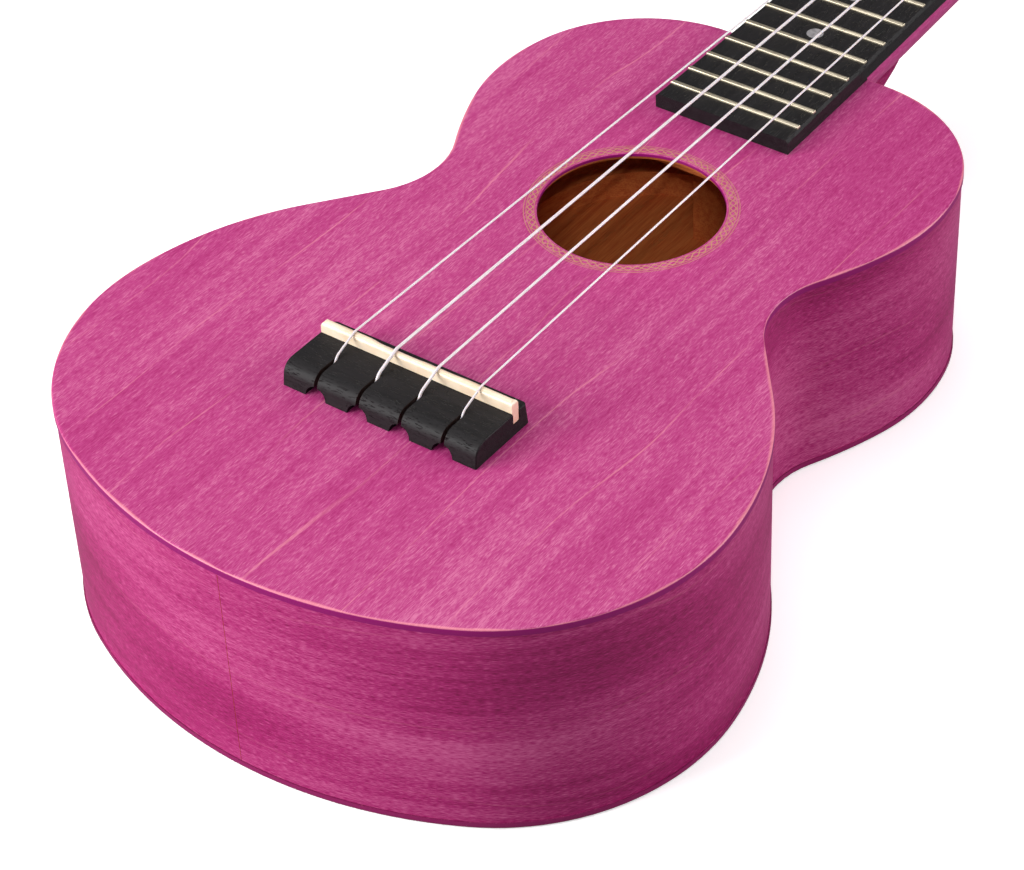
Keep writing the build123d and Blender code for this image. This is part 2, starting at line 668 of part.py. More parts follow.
def nut():
    """The nut, with a sloping slot for each string."""
    height = NUT_TOP_Z - NECK_TOP_Z
    bar = Box(2 * NUT_HALF, NUT_THICKNESS, height, align=(Align.CENTER, Align.MIN, Align.MIN))
    bar = fillet(bar.faces().sort_by(Axis.Z)[-1].edges().sort_by(Axis.Y)[-1], NUT_ROUND)
    bar = Pos(0, NUT_Y, NECK_TOP_Z) * bar
    for name, (_, radius, _, _) in STRINGS.items():
        bends, _ = string_bends(name)
        groove = Box(2 * radius + NUT_SLOT_EXTRA, NUT_SLOT_LENGTH, height, align=HIGH)
        for other in (bends[-3], bends[-1]):
            ahead = (other - bends[-2]).normalized()
            across = ahead.cross(Vector(0, 0, 1))
            middle = bends[-2] + ahead * (0.4 * NUT_SLOT_LENGTH)
            floor = middle - Vector(0, 0, radius + RUNNING_CLEARANCE)
            bar -= Plane(floor, x_dir=across, z_dir=across.cross(ahead)) * groove
    return bar


# -------------------------------------------------------------------- tuners
# A tuner's own frame: its post stands along Z, Z = 0 is the headstock's back,
# and the button is towards +X.
def gear():
    """The gear on the foot of the post."""
    tooth = Polygon(
        (GEAR_ROOT_RADIUS - TOOTH_SINK, -TOOTH_ROOT_WIDTH / 2),
        (GEAR_ROOT_RADIUS, -TOOTH_ROOT_WIDTH / 2),
        (GEAR_OUTER_RADIUS, -TOOTH_TIP_WIDTH / 2),
        (GEAR_OUTER_RADIUS, TOOTH_TIP_WIDTH / 2),
        (GEAR_ROOT_RADIUS, TOOTH_ROOT_WIDTH / 2),
        (GEAR_ROOT_RADIUS - TOOTH_SINK, TOOTH_ROOT_WIDTH / 2),
        align=None,
    )
    profile = Circle(GEAR_ROOT_RADIUS)
    for number in range(GEAR_TEETH):
        profile += Rot(0, 0, 360 * number / GEAR_TEETH - 90) * tooth
    profile -= Circle(GEAR_BORE)
    return Pos(0, 0, WORM_Z - GEAR_WIDTH / 2) * extrude(profile, GEAR_WIDTH, dir=(0, 0, 1))


def worm_shaft():
    """The worm, its journals and the shaft out to the button."""
    length = THREAD_TURNS * WORM_PITCH
    helix = Helix(WORM_PITCH, length, WORM_CORE_RADIUS, center=(0, 0, -length / 2))
    tooth = Polygon(
        (-THREAD_SINK, -THREAD_ROOT_WIDTH / 2),
        (WORM_OUTER_RADIUS - WORM_CORE_RADIUS, -THREAD_TIP_WIDTH / 2),
        (WORM_OUTER_RADIUS - WORM_CORE_RADIUS, THREAD_TIP_WIDTH / 2),
        (-THREAD_SINK, THREAD_ROOT_WIDTH / 2),
        align=None,
    )
    start = Plane(helix @ 0, x_dir=(1, 0, 0), z_dir=helix % 0)
    thread = Rot(0, 0, 90) * sweep(start * tooth, path=helix, is_frenet=True)
    body = Cylinder(WORM_CORE_RADIUS, 2 * (EAR_INNER - WORM_END_GAP)) + thread
    inner_end = EAR_INNER + EAR_THICKNESS + JOURNAL_END
    body += Pos(0, 0, -inner_end) * Cylinder(SHAFT_RADIUS, inner_end + SHAFT_END, align=HIGH)
    return Pos(0, -WORM_DISTANCE, WORM_Z) * Rot(0, 90, 0) * body


def tuner_plate():
    """The base plate with the two ears that carry the worm."""
    plate = Box(*TUNER_PLATE, align=LOW)
    plate = Pos(0, TUNER_PLATE_SHIFT, 0) * fillet(plate.edges().filter_by(Axis.Z), PLATE_CORNER)
    for side in (-1, 1):
        x = side * (EAR_INNER + EAR_THICKNESS / 2)
        ear = Pos(x, -WORM_DISTANCE, WORM_Z) * Rot(0, 90, 0) * Cylinder(EAR_RADIUS, EAR_THICKNESS)
        web = Box(EAR_THICKNESS, 2 * EAR_RADIUS, -WORM_Z - TUNER_PLATE[2] / 2, align=HIGH)
        plate += ear + Pos(x, -WORM_DISTANCE, WORM_Z) * web
    axle = Rot(0, 90, 0) * Cylinder(SHAFT_RADIUS + RUNNING_CLEARANCE, FAR)
    plate -= Pos(0, -WORM_DISTANCE, WORM_Z) * axle
    plate -= Cylinder(POST_RADIUS + RUNNING_CLEARANCE, FAR)
    for y in SCREW_OFFSETS:
        plate -= Pos(0, y, 0) * Cylinder(SCREW_RADIUS, FAR)
    return plate


def tuner_screw():
    """A small domed wood screw, head down."""
    plate = TUNER_PLATE[2]
    length, width, depth = SCREW_CROSS
    around = Box(3 * SCREW_HEAD_RADIUS, 3 * SCREW_HEAD_RADIUS, SCREW_HEAD_HEIGHT, align=LOW)
    head = Pos(0, 0, -plate) * (Sphere(SCREW_HEAD_RADIUS) & around)
    cross = Box(width, length, depth) + Box(length, width, depth)
    head -= Pos(0, 0, -plate - SCREW_HEAD_HEIGHT) * cross
    return head + Pos(0, 0, -plate) * Cylinder(SCREW_RADIUS, plate + SCREW_LENGTH, align=HIGH)


def string_post():
    """The capstan post that the string winds on."""
    top = HEAD_THICKNESS + VENEER_THICKNESS + POST_HEIGHT
    foot = WORM_Z + GEAR_WIDTH / 2
    post = Pos(0, 0, foot) * Cylinder(POST_RADIUS, top - foot, align=HIGH)
    post = fillet(post.edges().sort_by(Axis.Z)[-1], POST_ROUND)
    post += Pos(0, 0, foot - GEAR_WIDTH) * Cylinder(GEAR_BORE, GEAR_WIDTH, align=HIGH)
    post -= Pos(0, 0, foot - GEAR_WIDTH) * Cylinder(*GEAR_SCREW_SHANK, align=HIGH)
    hole = Rot(0, 90, 0) * Cylinder(POST_HOLE_RADIUS, 4 * POST_RADIUS)
    return post - Pos(0, 0, HEAD_THICKNESS + VENEER_THICKNESS + POST_HOLE_HEIGHT) * hole


def gear_screw():
    """The screw that holds the gear on its post."""
    foot = WORM_Z - GEAR_WIDTH / 2
    radius, height = GEAR_SCREW_HEAD
    head = Pos(0, 0, foot) * Cylinder(radius, height, align=LOW)
    head = fillet(head.edges().sort_by(Axis.Z)[0], GEAR_SCREW_ROUND)
    head -= Pos(0, 0, foot - height) * Box(*GEAR_SCREW_SLOT)
    return head + Pos(0, 0, foot) * Cylinder(*GEAR_SCREW_SHANK, align=HIGH)


def tuner_button():
    """The oval button on the end of the shaft."""
    wide, long = BUTTON_RADII
    pad = extrude(Ellipse(wide, long), BUTTON_THICKNESS / 2, both=True)
    pad = fillet(pad.edges(), BUTTON_ROUND)
    reach = BUTTON_CENTRE - BUTTON_START
    collar = Rot(0, 90, 0) * Cylinder(BUTTON_COLLAR_RADIUS, reach, align=HIGH)
    bore = Rot(0, 90, 0) * Cylinder(SHAFT_RADIUS, SHAFT_END, align=HIGH)
    button = Pos(BUTTON_CENTRE, 0, 0) * pad + Pos(BUTTON_START, 0, 0) * collar - bore
    return Pos(0, -WORM_DISTANCE, WORM_Z) * button


def bushing():
    """The bushing pressed into the headstock's face round a post."""
    face = HEAD_THICKNESS + VENEER_THICKNESS
    radius, thickness = BUSHING_FLANGE
    sleeve = Pos(0, 0, face) * Cylinder(BUSHING_RADIUS, BUSHING_DEPTH, align=LOW)
    flange = Pos(0, 0, face) * Cylinder(radius, thickness, align=HIGH)
    flange = fillet(flange.edges().sort_by(Axis.Z)[-1], FLANGE_ROUND)
    return sleeve + flange - Cylinder(POST_RADIUS + RUNNING_CLEARANCE, FAR)


def place_tuner(shape, name):
    """A tuner piece at its post, mirrored on the side of the G and C strings."""
    _, _, x, y = STRINGS[name]
    if x < 0:
        shape = mirror(shape, Plane.YZ)
    return HEAD * Pos(x, y, -HEAD_THICKNESS) * shape


def tuner_screw_list():
    """Every tuner screw, in place."""
    screws = [Pos(0, y, 0) * tuner_screw() for y in SCREW_OFFSETS]
    return [place_tuner(screw, name) for name in STRINGS for screw in screws]


# -------------------------------------------------------------------- output
def build_parts():
    """Every node of the ukulele, by name."""
    parts = {"soundboard": soundboard(), "back_plate": back_plate(), "rosette": rosette()}
    parts["side_bass"], parts["side_treble"] = sides()
    parts["neck_block"] = neck_block()
    parts["tail_block"] = tail_block()
    parts["top_linings"], parts["back_linings"] = linings()
    parts["top_brace_upper"] = top_brace(TOP_BRACE_UPPER_Y)
    parts["top_brace_lower"] = top_brace(TOP_BRACE_LOWER_Y)
    parts["fan_braces"] = fan_braces()
    parts["bridge_plate"] = bridge_plate()
    parts["back_braces"] = back_braces()
    parts["bridge"] = bridge()
    parts["saddle"] = saddle()
    parts["neck"] = neck()
    parts["heel_cap"] = heel_cap()
    parts["headstock_veneer"] = headstock_veneer()
    parts["neck_dowels"] = dowels()
    parts["fretboard"] = fretboard()
    parts["frets"] = frets()
    parts["position_dots"] = position_dots()
    parts["side_dots"] = side_dots()
    parts["nut"] = nut()
    parts["tuner_screws"] = Compound(children=tuner_screw_list())
    bushings = [place_tuner(bushing(), name) for name in STRINGS]
    parts["tuner_bushings"] = Compound(children=bushings)
    for name in STRINGS:
        parts["string_" + name] = string(name)
        parts["string_wraps_" + name] = string_wraps(name)
        parts["tuner_plate_" + name] = place_tuner(tuner_plate(), name)
        parts["string_post_" + name] = place_tuner(string_post(), name)
        parts["gear_" + name] = place_tuner(gear(), name)
        parts["gear_screw_" + name] = place_tuner(gear_screw(), name)
        parts["worm_shaft_" + name] = place_tuner(worm_shaft(), name)
        parts["tuner_button_" + name] = place_tuner(tuner_button(), name)
    return parts


os.makedirs("parts", exist_ok=True)
for node, shape in build_parts().items():
    export_step(shape, os.path.join("parts", node + ".step"))
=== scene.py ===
import logging
import math
from dataclasses import dataclass, field
from enum import Enum
from typing import Any, Iterable, Sequence

import bmesh
import bpy
from mathutils import Matrix, Vector


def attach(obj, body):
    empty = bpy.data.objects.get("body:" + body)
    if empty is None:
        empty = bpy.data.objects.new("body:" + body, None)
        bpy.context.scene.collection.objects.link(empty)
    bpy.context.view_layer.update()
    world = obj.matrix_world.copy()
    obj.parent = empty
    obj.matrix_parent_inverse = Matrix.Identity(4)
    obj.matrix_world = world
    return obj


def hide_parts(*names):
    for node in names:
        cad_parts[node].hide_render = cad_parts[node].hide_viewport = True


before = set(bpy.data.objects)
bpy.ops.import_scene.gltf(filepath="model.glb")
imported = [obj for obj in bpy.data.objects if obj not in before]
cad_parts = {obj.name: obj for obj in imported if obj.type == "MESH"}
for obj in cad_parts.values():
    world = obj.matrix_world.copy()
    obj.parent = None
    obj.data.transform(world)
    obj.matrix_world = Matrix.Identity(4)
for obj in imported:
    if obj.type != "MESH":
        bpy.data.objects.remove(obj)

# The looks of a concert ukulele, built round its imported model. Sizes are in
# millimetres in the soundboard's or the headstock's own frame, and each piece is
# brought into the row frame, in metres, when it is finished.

logging.basicConfig(level=logging.INFO, format="%(message)s")
LOG = logging.getLogger("ukulele")

Tree = bpy.types.NodeTree
Socket = bpy.types.NodeSocket
Mesh = bmesh.types.BMesh
Vert = bmesh.types.BMVert
Edge = bmesh.types.BMEdge
Face = bmesh.types.BMFace
Place = tuple[float, float, float]

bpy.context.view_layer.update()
MM = 0.001
TO_METRES = Matrix.Scale(MM, 4)
STRING_NAMES = ("g", "c", "e", "a")

# Frames that the instrument is built in: the soundboard's outer face, and the
# headstock's wooden face.
BODY_DEPTH = 68.5
TAPER = math.radians(-1.24)
BACK_SHIFT = BODY_DEPTH * math.sin(TAPER)  # of the back's outline along Y
BOARD = TO_METRES @ Matrix.Translation((0, 0, BODY_DEPTH)) @ Matrix.Rotation(TAPER, 4, "X")
HEAD_ANGLE = math.radians(-12.0)
HEAD = TO_METRES @ Matrix.Translation((0, 387.0, 65.1)) @ Matrix.Rotation(HEAD_ANGLE, 4, "X")


# ------------------------------------------------------------------- colours
def linear(code: str) -> tuple[float, float, float, float]:
    """Turns an sRGB hex colour into Blender's linear colour.

    Args:
        code: Six hex digits, such as "c8468c".

    Returns:
        The linear red, green and blue, and full alpha.
    """
    channels = [int(code[place:place + 2], 16) / 255 for place in (0, 2, 4)]
    bent = [c / 12.92 if c <= 0.04045 else ((c + 0.055) / 1.055) ** 2.4 for c in channels]
    return (*bent, 1.0)


# --------------------------------------------------------------------- nodes
def connect(tree: Tree, node: bpy.types.Node, inputs: dict[Any, Any]) -> None:
    """Sets or links a node's inputs.

    Args:
        tree: The material's node tree.
        node: The node.
        inputs: Values or output sockets, by the input's name or number.
    """
    for key, value in inputs.items():
        if isinstance(value, bpy.types.NodeSocket):
            tree.links.new(value, node.inputs[key])
        else:
            node.inputs[key].default_value = value


def add(tree: Tree, kind: str, inputs: dict[Any, Any] | None = None, **settings: Any) -> bpy.types.Node:
    """Adds one node to a tree.

    Args:
        tree: The material's node tree.
        kind: The node's type name.
        inputs: Values or output sockets, by the input's name or number.
        **settings: Properties of the node; stops gives a colour ramp's stops.

    Returns:
        The new node.
    """
    node = tree.nodes.new(kind)
    stops = settings.pop("stops", ())
    for name, value in settings.items():
        setattr(node, name, value)
    for count, (place, code) in enumerate(stops):
        stop = node.color_ramp.elements[count] if count < 2 else node.color_ramp.elements.new(place)
        stop.position = place
        stop.color = linear(code)
    connect(tree, node, inputs or {})
    return node


def calculate(tree: Tree, operation: str, *values: Socket | float) -> Socket:
    """Adds one step of arithmetic.

    Args:
        tree: The material's node tree.
        operation: The Math node's operation.
        *values: What it works on.

    Returns:
        The result's socket.
    """
    return add(tree, "ShaderNodeMath", dict(enumerate(values)), operation=operation).outputs[0]


def remap(tree: Tree, value: Socket, low: float, high: float, start: float, end: float) -> Socket:
    """Carries one range of values to another, without going past its ends.

    Args:
        tree: The material's node tree.
        value: The value.
        low: Where the first range starts.
        high: Where the first range ends.
        start: What low becomes.
        end: What high becomes.

    Returns:
        The new value's socket.
    """
    return add(tree, "ShaderNodeMapRange", dict(enumerate((value, low, high, start, end)))).outputs[0]


def paint_over(tree: Tree, amount: Socket, colour: Socket | tuple[float, ...], code: str) -> Socket:
    """Lays one colour over another.

    Args:
        tree: The material's node tree.
        amount: How much of the new colour shows, from 0 to 1.
        colour: The colour so far.
        code: The new colour's hex digits.

    Returns:
        The mixed colour's socket.
    """
    blend = {0: amount, 6: colour, 7: linear(code)}
    return add(tree, "ShaderNodeMix", blend, data_type="RGBA").outputs[2]


def add_relief(tree: Tree, shader: bpy.types.Node, height: Socket, strength: float, distance: float) -> None:
    """Gives a surface a fine relief.

    Args:
        tree: The material's node tree.
        shader: The Principled shader.
        height: The relief's height, from 0 to 1.
        strength: How much of it shows.
        distance: Its depth, in metres.
    """
    bump = add(tree, "ShaderNodeBump", {"Height": height, "Strength": strength, "Distance": distance})
    connect(tree, shader, {"Normal": bump.outputs[0]})


def start_material(name: str) -> tuple[bpy.types.Material, Tree, bpy.types.Node]:
    """Makes an empty material with its shader.

    Args:
        name: The material's name.

    Returns:
        The material, its node tree and its Principled shader.
    """
    material = bpy.data.materials.new(name)
    material.use_nodes = True
    tree = material.node_tree
    tree.nodes.clear()
    shader = add(tree, "ShaderNodeBsdfPrincipled")
    add(tree, "ShaderNodeOutputMaterial", {"Surface": shader.outputs["BSDF"]})
    return material, tree, shader


class Grain(Enum):
    """The way that a piece's grain runs."""

    ALONG_NECK = "along the neck"
    ROUND_SIDES = "round the body"
    ACROSS = "across the body"


def grain_space(tree: Tree, grain: Grain) -> Socket:
    """Gives a place in millimetres whose Y runs along the grain.

    Args:
        tree: The material's node tree.
        grain: The way that the grain runs.

    Returns:
        The vector's socket.
    """
    place = add(tree, "ShaderNodeTexCoord").outputs["Object"]
    scaled = add(tree, "ShaderNodeMapping", {"Vector": place, "Scale": (1000, 1000, 1000)})
    if grain is Grain.ALONG_NECK:
        return scaled.outputs[0]
    x, y, z = add(tree, "ShaderNodeSeparateXYZ", {0: scaled.outputs[0]}).outputs
    if grain is Grain.ACROSS:
        return add(tree, "ShaderNodeCombineXYZ", {0: y, 1: x, 2: z}).outputs[0]
    run = add(tree, "ShaderNodeAttribute", attribute_name="along")
    return add(tree, "ShaderNodeCombineXYZ", {0: z, 1: run.outputs["Fac"]}).outputs[0]


def surface_normal(tree: Tree) -> bpy.types.NodeOutputs:
    """Gives the way that a surface faces, as its X, Y and Z parts.

    Args:
        tree: The material's node tree.

    Returns:
        The three parts' sockets.
    """
    facing = add(tree, "ShaderNodeTexCoord").outputs["Normal"]
    return add(tree, "ShaderNodeSeparateXYZ", {0: facing}).outputs


@dataclass(frozen=True)
class Marks:
    """Noise drawn out along the grain.

    The sizes of a mark are in millimetres. Detail is how many finer layers the
    noise has, and seed moves the pattern.
    """

    wide: float
    long: float
    detail: float
    seed: float

    def draw(self, tree: Tree, space: Socket) -> Socket:
        """Adds the noise to a tree.

        Args:
            tree: The material's node tree.
            space: The grain's place, in millimetres.

        Returns:
            The noise's value, about 0.5 in the middle.
        """
        scale = (1 / self.wide, 1 / self.long, 1 / self.wide)
        shift = (self.seed, self.seed * 0.37, 0)
        placed = add(tree, "ShaderNodeMapping", {"Vector": space, "Scale": scale, "Location": shift})
        noise = {"Vector": placed.outputs[0], "Scale": 1.0, "Detail": self.detail}
        return add(tree, "ShaderNodeTexNoise", noise).outputs["Fac"]


# ------------------------------------------------------------------ finishes
@dataclass(frozen=True)
class StainedWood:
    """Pale tonewood wiped with a see-through magenta stain and sprayed satin.

    The stain sinks unevenly. Pores and soft grain take more of it and the hard
    grain less, so the colour breaks into short fine fibres, soft streaks and
    broad clouds, all drawn out along the grain.
    """

    name: str
    dark: str
    middle: str
    light: str
    grain: Grain
    wear_and_ledge_shade: str = "e58f96"  # colour of the rim line: rubbed wood where the stain has gone; set dark on the back plate as painted shade on its ledge
    edge: str = ""  # the cut edge of a plate, where end grain drinks the stain
    roughness: float = 0.40
    shine: float = 0.30
    ring_lines: float = 0.42
    ring_colour: str = "e28e9c"
    cloudiness: float = 0.6
    reach: float = 0.15  # from the middle of the marks to the darkest and lightest colours
    fibres: Marks = Marks(0.22, 2.0, 3.0, 3.1)
    fibre_share: float = 0.60
    streaks: Marks = Marks(0.7, 9.0, 1.0, 11.7)
    streak_share: float = 0.16
    bands: Marks = Marks(3.2, 80.0, 2.0, 5.3)
    band_share: float = 0.20
    clouds: Marks = Marks(34.0, 120.0, 1.0, 8.9)
    cloud_share: float = 0.32
    drift: Marks = Marks(24.0, 130.0, 2.0, 1.9)  # of the growth lines across the grain
    fading: Marks = Marks(18.0, 40.0, 1.0, 6.6)  # of the growth lines along the grain
    line_width: tuple[float, float] = (0.12, 0.36)
    rim_line_noise: Marks = Marks(30.0, 30.0, 3.0, 2.7)
    rim_line_width: tuple[float, float] = (0.15, 1.1)
    rim_line_share: float = 0.6

    def build(self) -> bpy.types.Material:
        """Builds the material.

        Returns:
            The finished material.
        """
        material, tree, shader = start_material(self.name)
        space = grain_space(tree, self.grain)
        fibres = self.fibres.draw(tree, space)
        layers = (
            (fibres, self.fibre_share),
            (self.streaks.draw(tree, space), self.streak_share),
            (self.bands.draw(tree, space), self.band_share),
            (self.clouds.draw(tree, space), self.cloud_share * self.cloudiness),
        )
        mixed: Socket | float = 0.0
        for part, share in layers:
            mixed = calculate(tree, "MULTIPLY_ADD", part, share, mixed)
        centre = 0.5 * sum(share for _, share in layers)
        stops = ((centre - self.reach, self.dark), (centre, self.middle), (centre + self.reach, self.light))
        colour = add(tree, "ShaderNodeValToRGB", {"Fac": mixed}, stops=stops).outputs["Color"]
        colour = self.growth_lines(tree, space, colour)
        colour = self.dress(tree, space, colour)
        satin = {"Base Color": colour, "Roughness": self.roughness, "Specular IOR Level": self.shine}
        connect(tree, shader, satin)
        add_relief(tree, shader, fibres, 0.10, 0.0001)
        return material

    def growth_lines(self, tree: Tree, space: Socket, colour: Socket) -> Socket:
        """Adds thin, wandering lines where a growth ring took more or less stain.

        Args:
            tree: The material's node tree.
            space: The grain's place, in millimetres.
            colour: The wood's colour so far.

        Returns:
            The colour with the lines.
        """
        drift = self.drift.draw(tree, space)
        shown = remap(tree, self.fading.draw(tree, space), 0.38, 0.62, 0.1, 1.0)
        across = add(tree, "ShaderNodeSeparateXYZ", {0: space}).outputs[0]
        # (start, pitch, colour, strength) of the pale lines and of the dark ones
        lines = ((5.0, 13.0, self.ring_colour, self.ring_lines), (0.0, 9.0, self.dark, 0.6 * self.ring_lines))
        for start, pitch, code, strength in lines:
            wander = calculate(tree, "MULTIPLY_ADD", drift, 1.6 * pitch, start)
            near = calculate(tree, "PINGPONG", calculate(tree, "ADD", across, wander), pitch)
            line = remap(tree, near, *self.line_width, strength, 0.0)
            colour = paint_over(tree, calculate(tree, "MULTIPLY", line, shown), colour, code)
        return colour

    def dress(self, tree: Tree, space: Socket, colour: Socket) -> Socket:
        """Darkens a plate's cut edge, and paints a line along the corner of its upward faces near the rim:
        rubbed wood on the top plate, painted shade on the back plate's ledge.

        Args:
            tree: The material's node tree.
            space: The grain's place, in millimetres.
            colour: The wood's colour so far.

        Returns:
            The colour with its edges.
        """
        if not self.edge:
            return colour
        upward = surface_normal(tree)[2]
        side = remap(tree, calculate(tree, "ABSOLUTE", upward), 0.25, 0.55, 1.0, 0.0)
        colour = paint_over(tree, side, colour, self.edge)
        # rim line on upward faces: pale rubbed wood on the top; on the back, a dark painted shade along the
        # ledge under the sides
        rim = add(tree, "ShaderNodeAttribute", attribute_name="rim").outputs["Fac"]
        width = remap(tree, self.rim_line_noise.draw(tree, space), 0.42, 0.62, *self.rim_line_width)
        line = remap(tree, calculate(tree, "DIVIDE", rim, width), 0.4, 1.0, self.rim_line_share, 0.0)
        face = remap(tree, upward, 0.3, 0.6, 0.0, 1.0)
        return paint_over(tree, calculate(tree, "MULTIPLY", line, face), colour, self.wear_and_ledge_shade)


@dataclass(frozen=True)
class BraidedInlay(StainedWood):
    """A pale braid let into stained wood round a hole: two crossing strands and three fine rings."""

    thread: str = "b4895c"
    middle_y: float = 98.68
    braid_radius: float = 29.05
    swing: float = 0.78
    waves: float = 36.0
    thread_width: float = 0.34
    rings: tuple[float, ...] = (27.95, 30.2, 30.95)

    def dress(self, tree: Tree, space: Socket, colour: Socket) -> Socket:
        """Draws the braid and its rings over the stained wood.

        Args:
            tree: The material's node tree.
            space: A place in millimetres.
            colour: The wood's colour so far.

        Returns:
            The colour with the inlay.
        """
        placed = add(tree, "ShaderNodeMapping", {"Vector": space, "Location": (0, -self.middle_y, 0)})
        x, y, _ = add(tree, "ShaderNodeSeparateXYZ", {0: placed.outputs[0]}).outputs
        flat = add(tree, "ShaderNodeCombineXYZ", {0: x, 1: y}).outputs[0]
        radius = add(tree, "ShaderNodeVectorMath", {0: flat}, operation="LENGTH").outputs["Value"]
        angle = calculate(tree, "ARCTAN2", y, x)
        wave = calculate(tree, "SINE", calculate(tree, "MULTIPLY", angle, self.waves))
        paths = [(self.braid_radius, swing, self.thread_width) for swing in (self.swing, -self.swing)]
        paths += [(ring, 0.0, 0.5 * self.thread_width) for ring in self.rings]
        for middle, swing, width in paths:
            line = calculate(tree, "MULTIPLY_ADD", wave, swing, middle)
            near = calculate(tree, "ABSOLUTE", calculate(tree, "SUBTRACT", radius, line))
            amount = remap(tree, near, 0.4 * width, 0.8 * width, 0.8, 0.0)
            colour = paint_over(tree, amount, colour, self.thread)
        return colour


@dataclass(frozen=True)
class BareWood:
    """Planed softwood with no finish, as inside the body: warm, matt and streaky."""

    name: str
    dark: str
    light: str
    grain: Grain
    rings: Marks = Marks(1.6, 60.0, 2.0, 4.4)
    fibres: Marks = Marks(0.4, 8.0, 1.0, 7.7)

    def build(self) -> bpy.types.Material:
        """Builds the material.

        Returns:
            The finished material.
        """
        material, tree, shader = start_material(self.name)
        space = grain_space(tree, self.grain)
        fibres = self.fibres.draw(tree, space)
        mixed = calculate(tree, "MULTIPLY", calculate(tree, "ADD", self.rings.draw(tree, space), fibres), 0.5)
        stops = ((0.38, self.dark), (0.62, self.light))
        colour = add(tree, "ShaderNodeValToRGB", {"Fac": mixed}, stops=stops).outputs["Color"]
        connect(tree, shader, {"Base Color": colour, "Roughness": 0.72})
        add_relief(tree, shader, fibres, 0.2, 0.0002)
        return material


@dataclass(frozen=True)
class BlackWood:
    """Dyed close-pored hardwood, sanded and oiled: near black, with short open pores.

    The dye doesn't reach into later saw cuts, so their walls stay brown.
    """

    name: str
    dark: str
    light: str
    grain: Grain
    roughness: float
    cut_pitch: float = 0.0
    cut_half: float = 0.6
    cut_colour: str = "2c1a14"
    clouds: Marks = Marks(1.2, 26.0, 3.0, 2.2)
    pores: Marks = Marks(0.28, 2.6, 1.0, 6.1)

    def build(self) -> bpy.types.Material:
        """Builds the material.

        Returns:
            The finished material.
        """
        material, tree, shader = start_material(self.name)
        space = grain_space(tree, self.grain)
        cloud = self.clouds.draw(tree, space)
        stops = ((0.35, self.dark), (0.7, self.light))
        colour = add(tree, "ShaderNodeValToRGB", {"Fac": cloud}, stops=stops).outputs["Color"]
        if self.cut_pitch:
            colour = self.saw_cuts(tree, space, colour)
        gloss = remap(tree, cloud, 0.3, 0.7, self.roughness, self.roughness + 0.1)
        connect(tree, shader, {"Base Color": colour, "Roughness": gloss, "Specular IOR Level": 0.22})
        pits = remap(tree, self.pores.draw(tree, space), 0.26, 0.38, 0.0, 1.0)
        add_relief(tree, shader, pits, 0.9, 0.0004)
        return material

    def saw_cuts(self, tree: Tree, space: Socket, colour: Socket) -> Socket:
        """Browns the walls of saw cuts at an even pitch across the grain.

        Args:
            tree: The material's node tree.
            space: The grain's place, in millimetres, with the cuts' spacing along Y.
            colour: The wood's colour so far.

        Returns:
            The colour with the cuts.
        """
        along = add(tree, "ShaderNodeSeparateXYZ", {0: space}).outputs[1]
        half = self.cut_pitch / 2
        near = calculate(tree, "PINGPONG", calculate(tree, "ADD", along, half), half)
        amount = remap(tree, near, self.cut_half, self.cut_half + 0.05, 0.8, 0.0)
        normal = surface_normal(tree)
        # faces that look up, or towards the headstock, stay black
        for axis, limit in ((2, 0.8), (1, 0.5)):
            amount = calculate(tree, "MULTIPLY", amount, calculate(tree, "LESS_THAN", normal[axis], limit))
        return paint_over(tree, amount, colour, self.cut_colour)


@dataclass(frozen=True)
class Moulded:
    """Cast or moulded plastic, buffed: an even colour with a faint cloud in it."""

    name: str
    dark: str
    light: str
    roughness: float
    cloud_size: float = 6.0
    glow: float = 0.0
    clear: float = 0.0
    scratches: float = 0.05
    marks: Marks = Marks(0.35, 0.35, 2.0, 5.5)

    def build(self) -> bpy.types.Material:
        """Builds the material.

        Returns:
            The finished material.
        """
        material, tree, shader = start_material(self.name)
        space = grain_space(tree, Grain.ALONG_NECK)
        cloud = Marks(self.cloud_size, self.cloud_size, 3.0, 9.2).draw(tree, space)
        stops = ((0.35, self.dark), (0.65, self.light))
        colour = add(tree, "ShaderNodeValToRGB", {"Fac": cloud}, stops=stops).outputs["Color"]
        connect(tree, shader, {"Base Color": colour, "Roughness": self.roughness})
        connect(tree, shader, {"Subsurface Weight": self.glow, "Subsurface Radius": (0.0012, 0.0009, 0.0006)})
        connect(tree, shader, {"Transmission Weight": self.clear})
        add_relief(tree, shader, self.marks.draw(tree, space), self.scratches, 0.0001)
        return material


@dataclass(frozen=True)
class Metal:
    """Plated or drawn metal, with the fine lines of its polishing."""

    name: str
    dark: str
    light: str
    roughness: float
    line: float = 0.25
    spread: float = 0.1

    def build(self) -> bpy.types.Material:
        """Builds the material.

        Returns:
            The finished material.
        """
        material, tree, shader = start_material(self.name)
        lines = Marks(self.line, 9.0, 2.0, 1.3).draw(tree, grain_space(tree, Grain.ACROSS))
        stops = ((0.3, self.dark), (0.7, self.light))
        colour = add(tree, "ShaderNodeValToRGB", {"Fac": lines}, stops=stops).outputs["Color"]
        gloss = remap(tree, lines, 0.0, 1.0, self.roughness, self.roughness + self.spread)
        connect(tree, shader, {"Base Color": colour, "Metallic": 1.0, "Roughness": gloss})
        return material


TOP_STAIN = ("9a1c60", "ae3877", "c86a94")
BARE_SPRUCE = ("c05c26", "d67a3c")


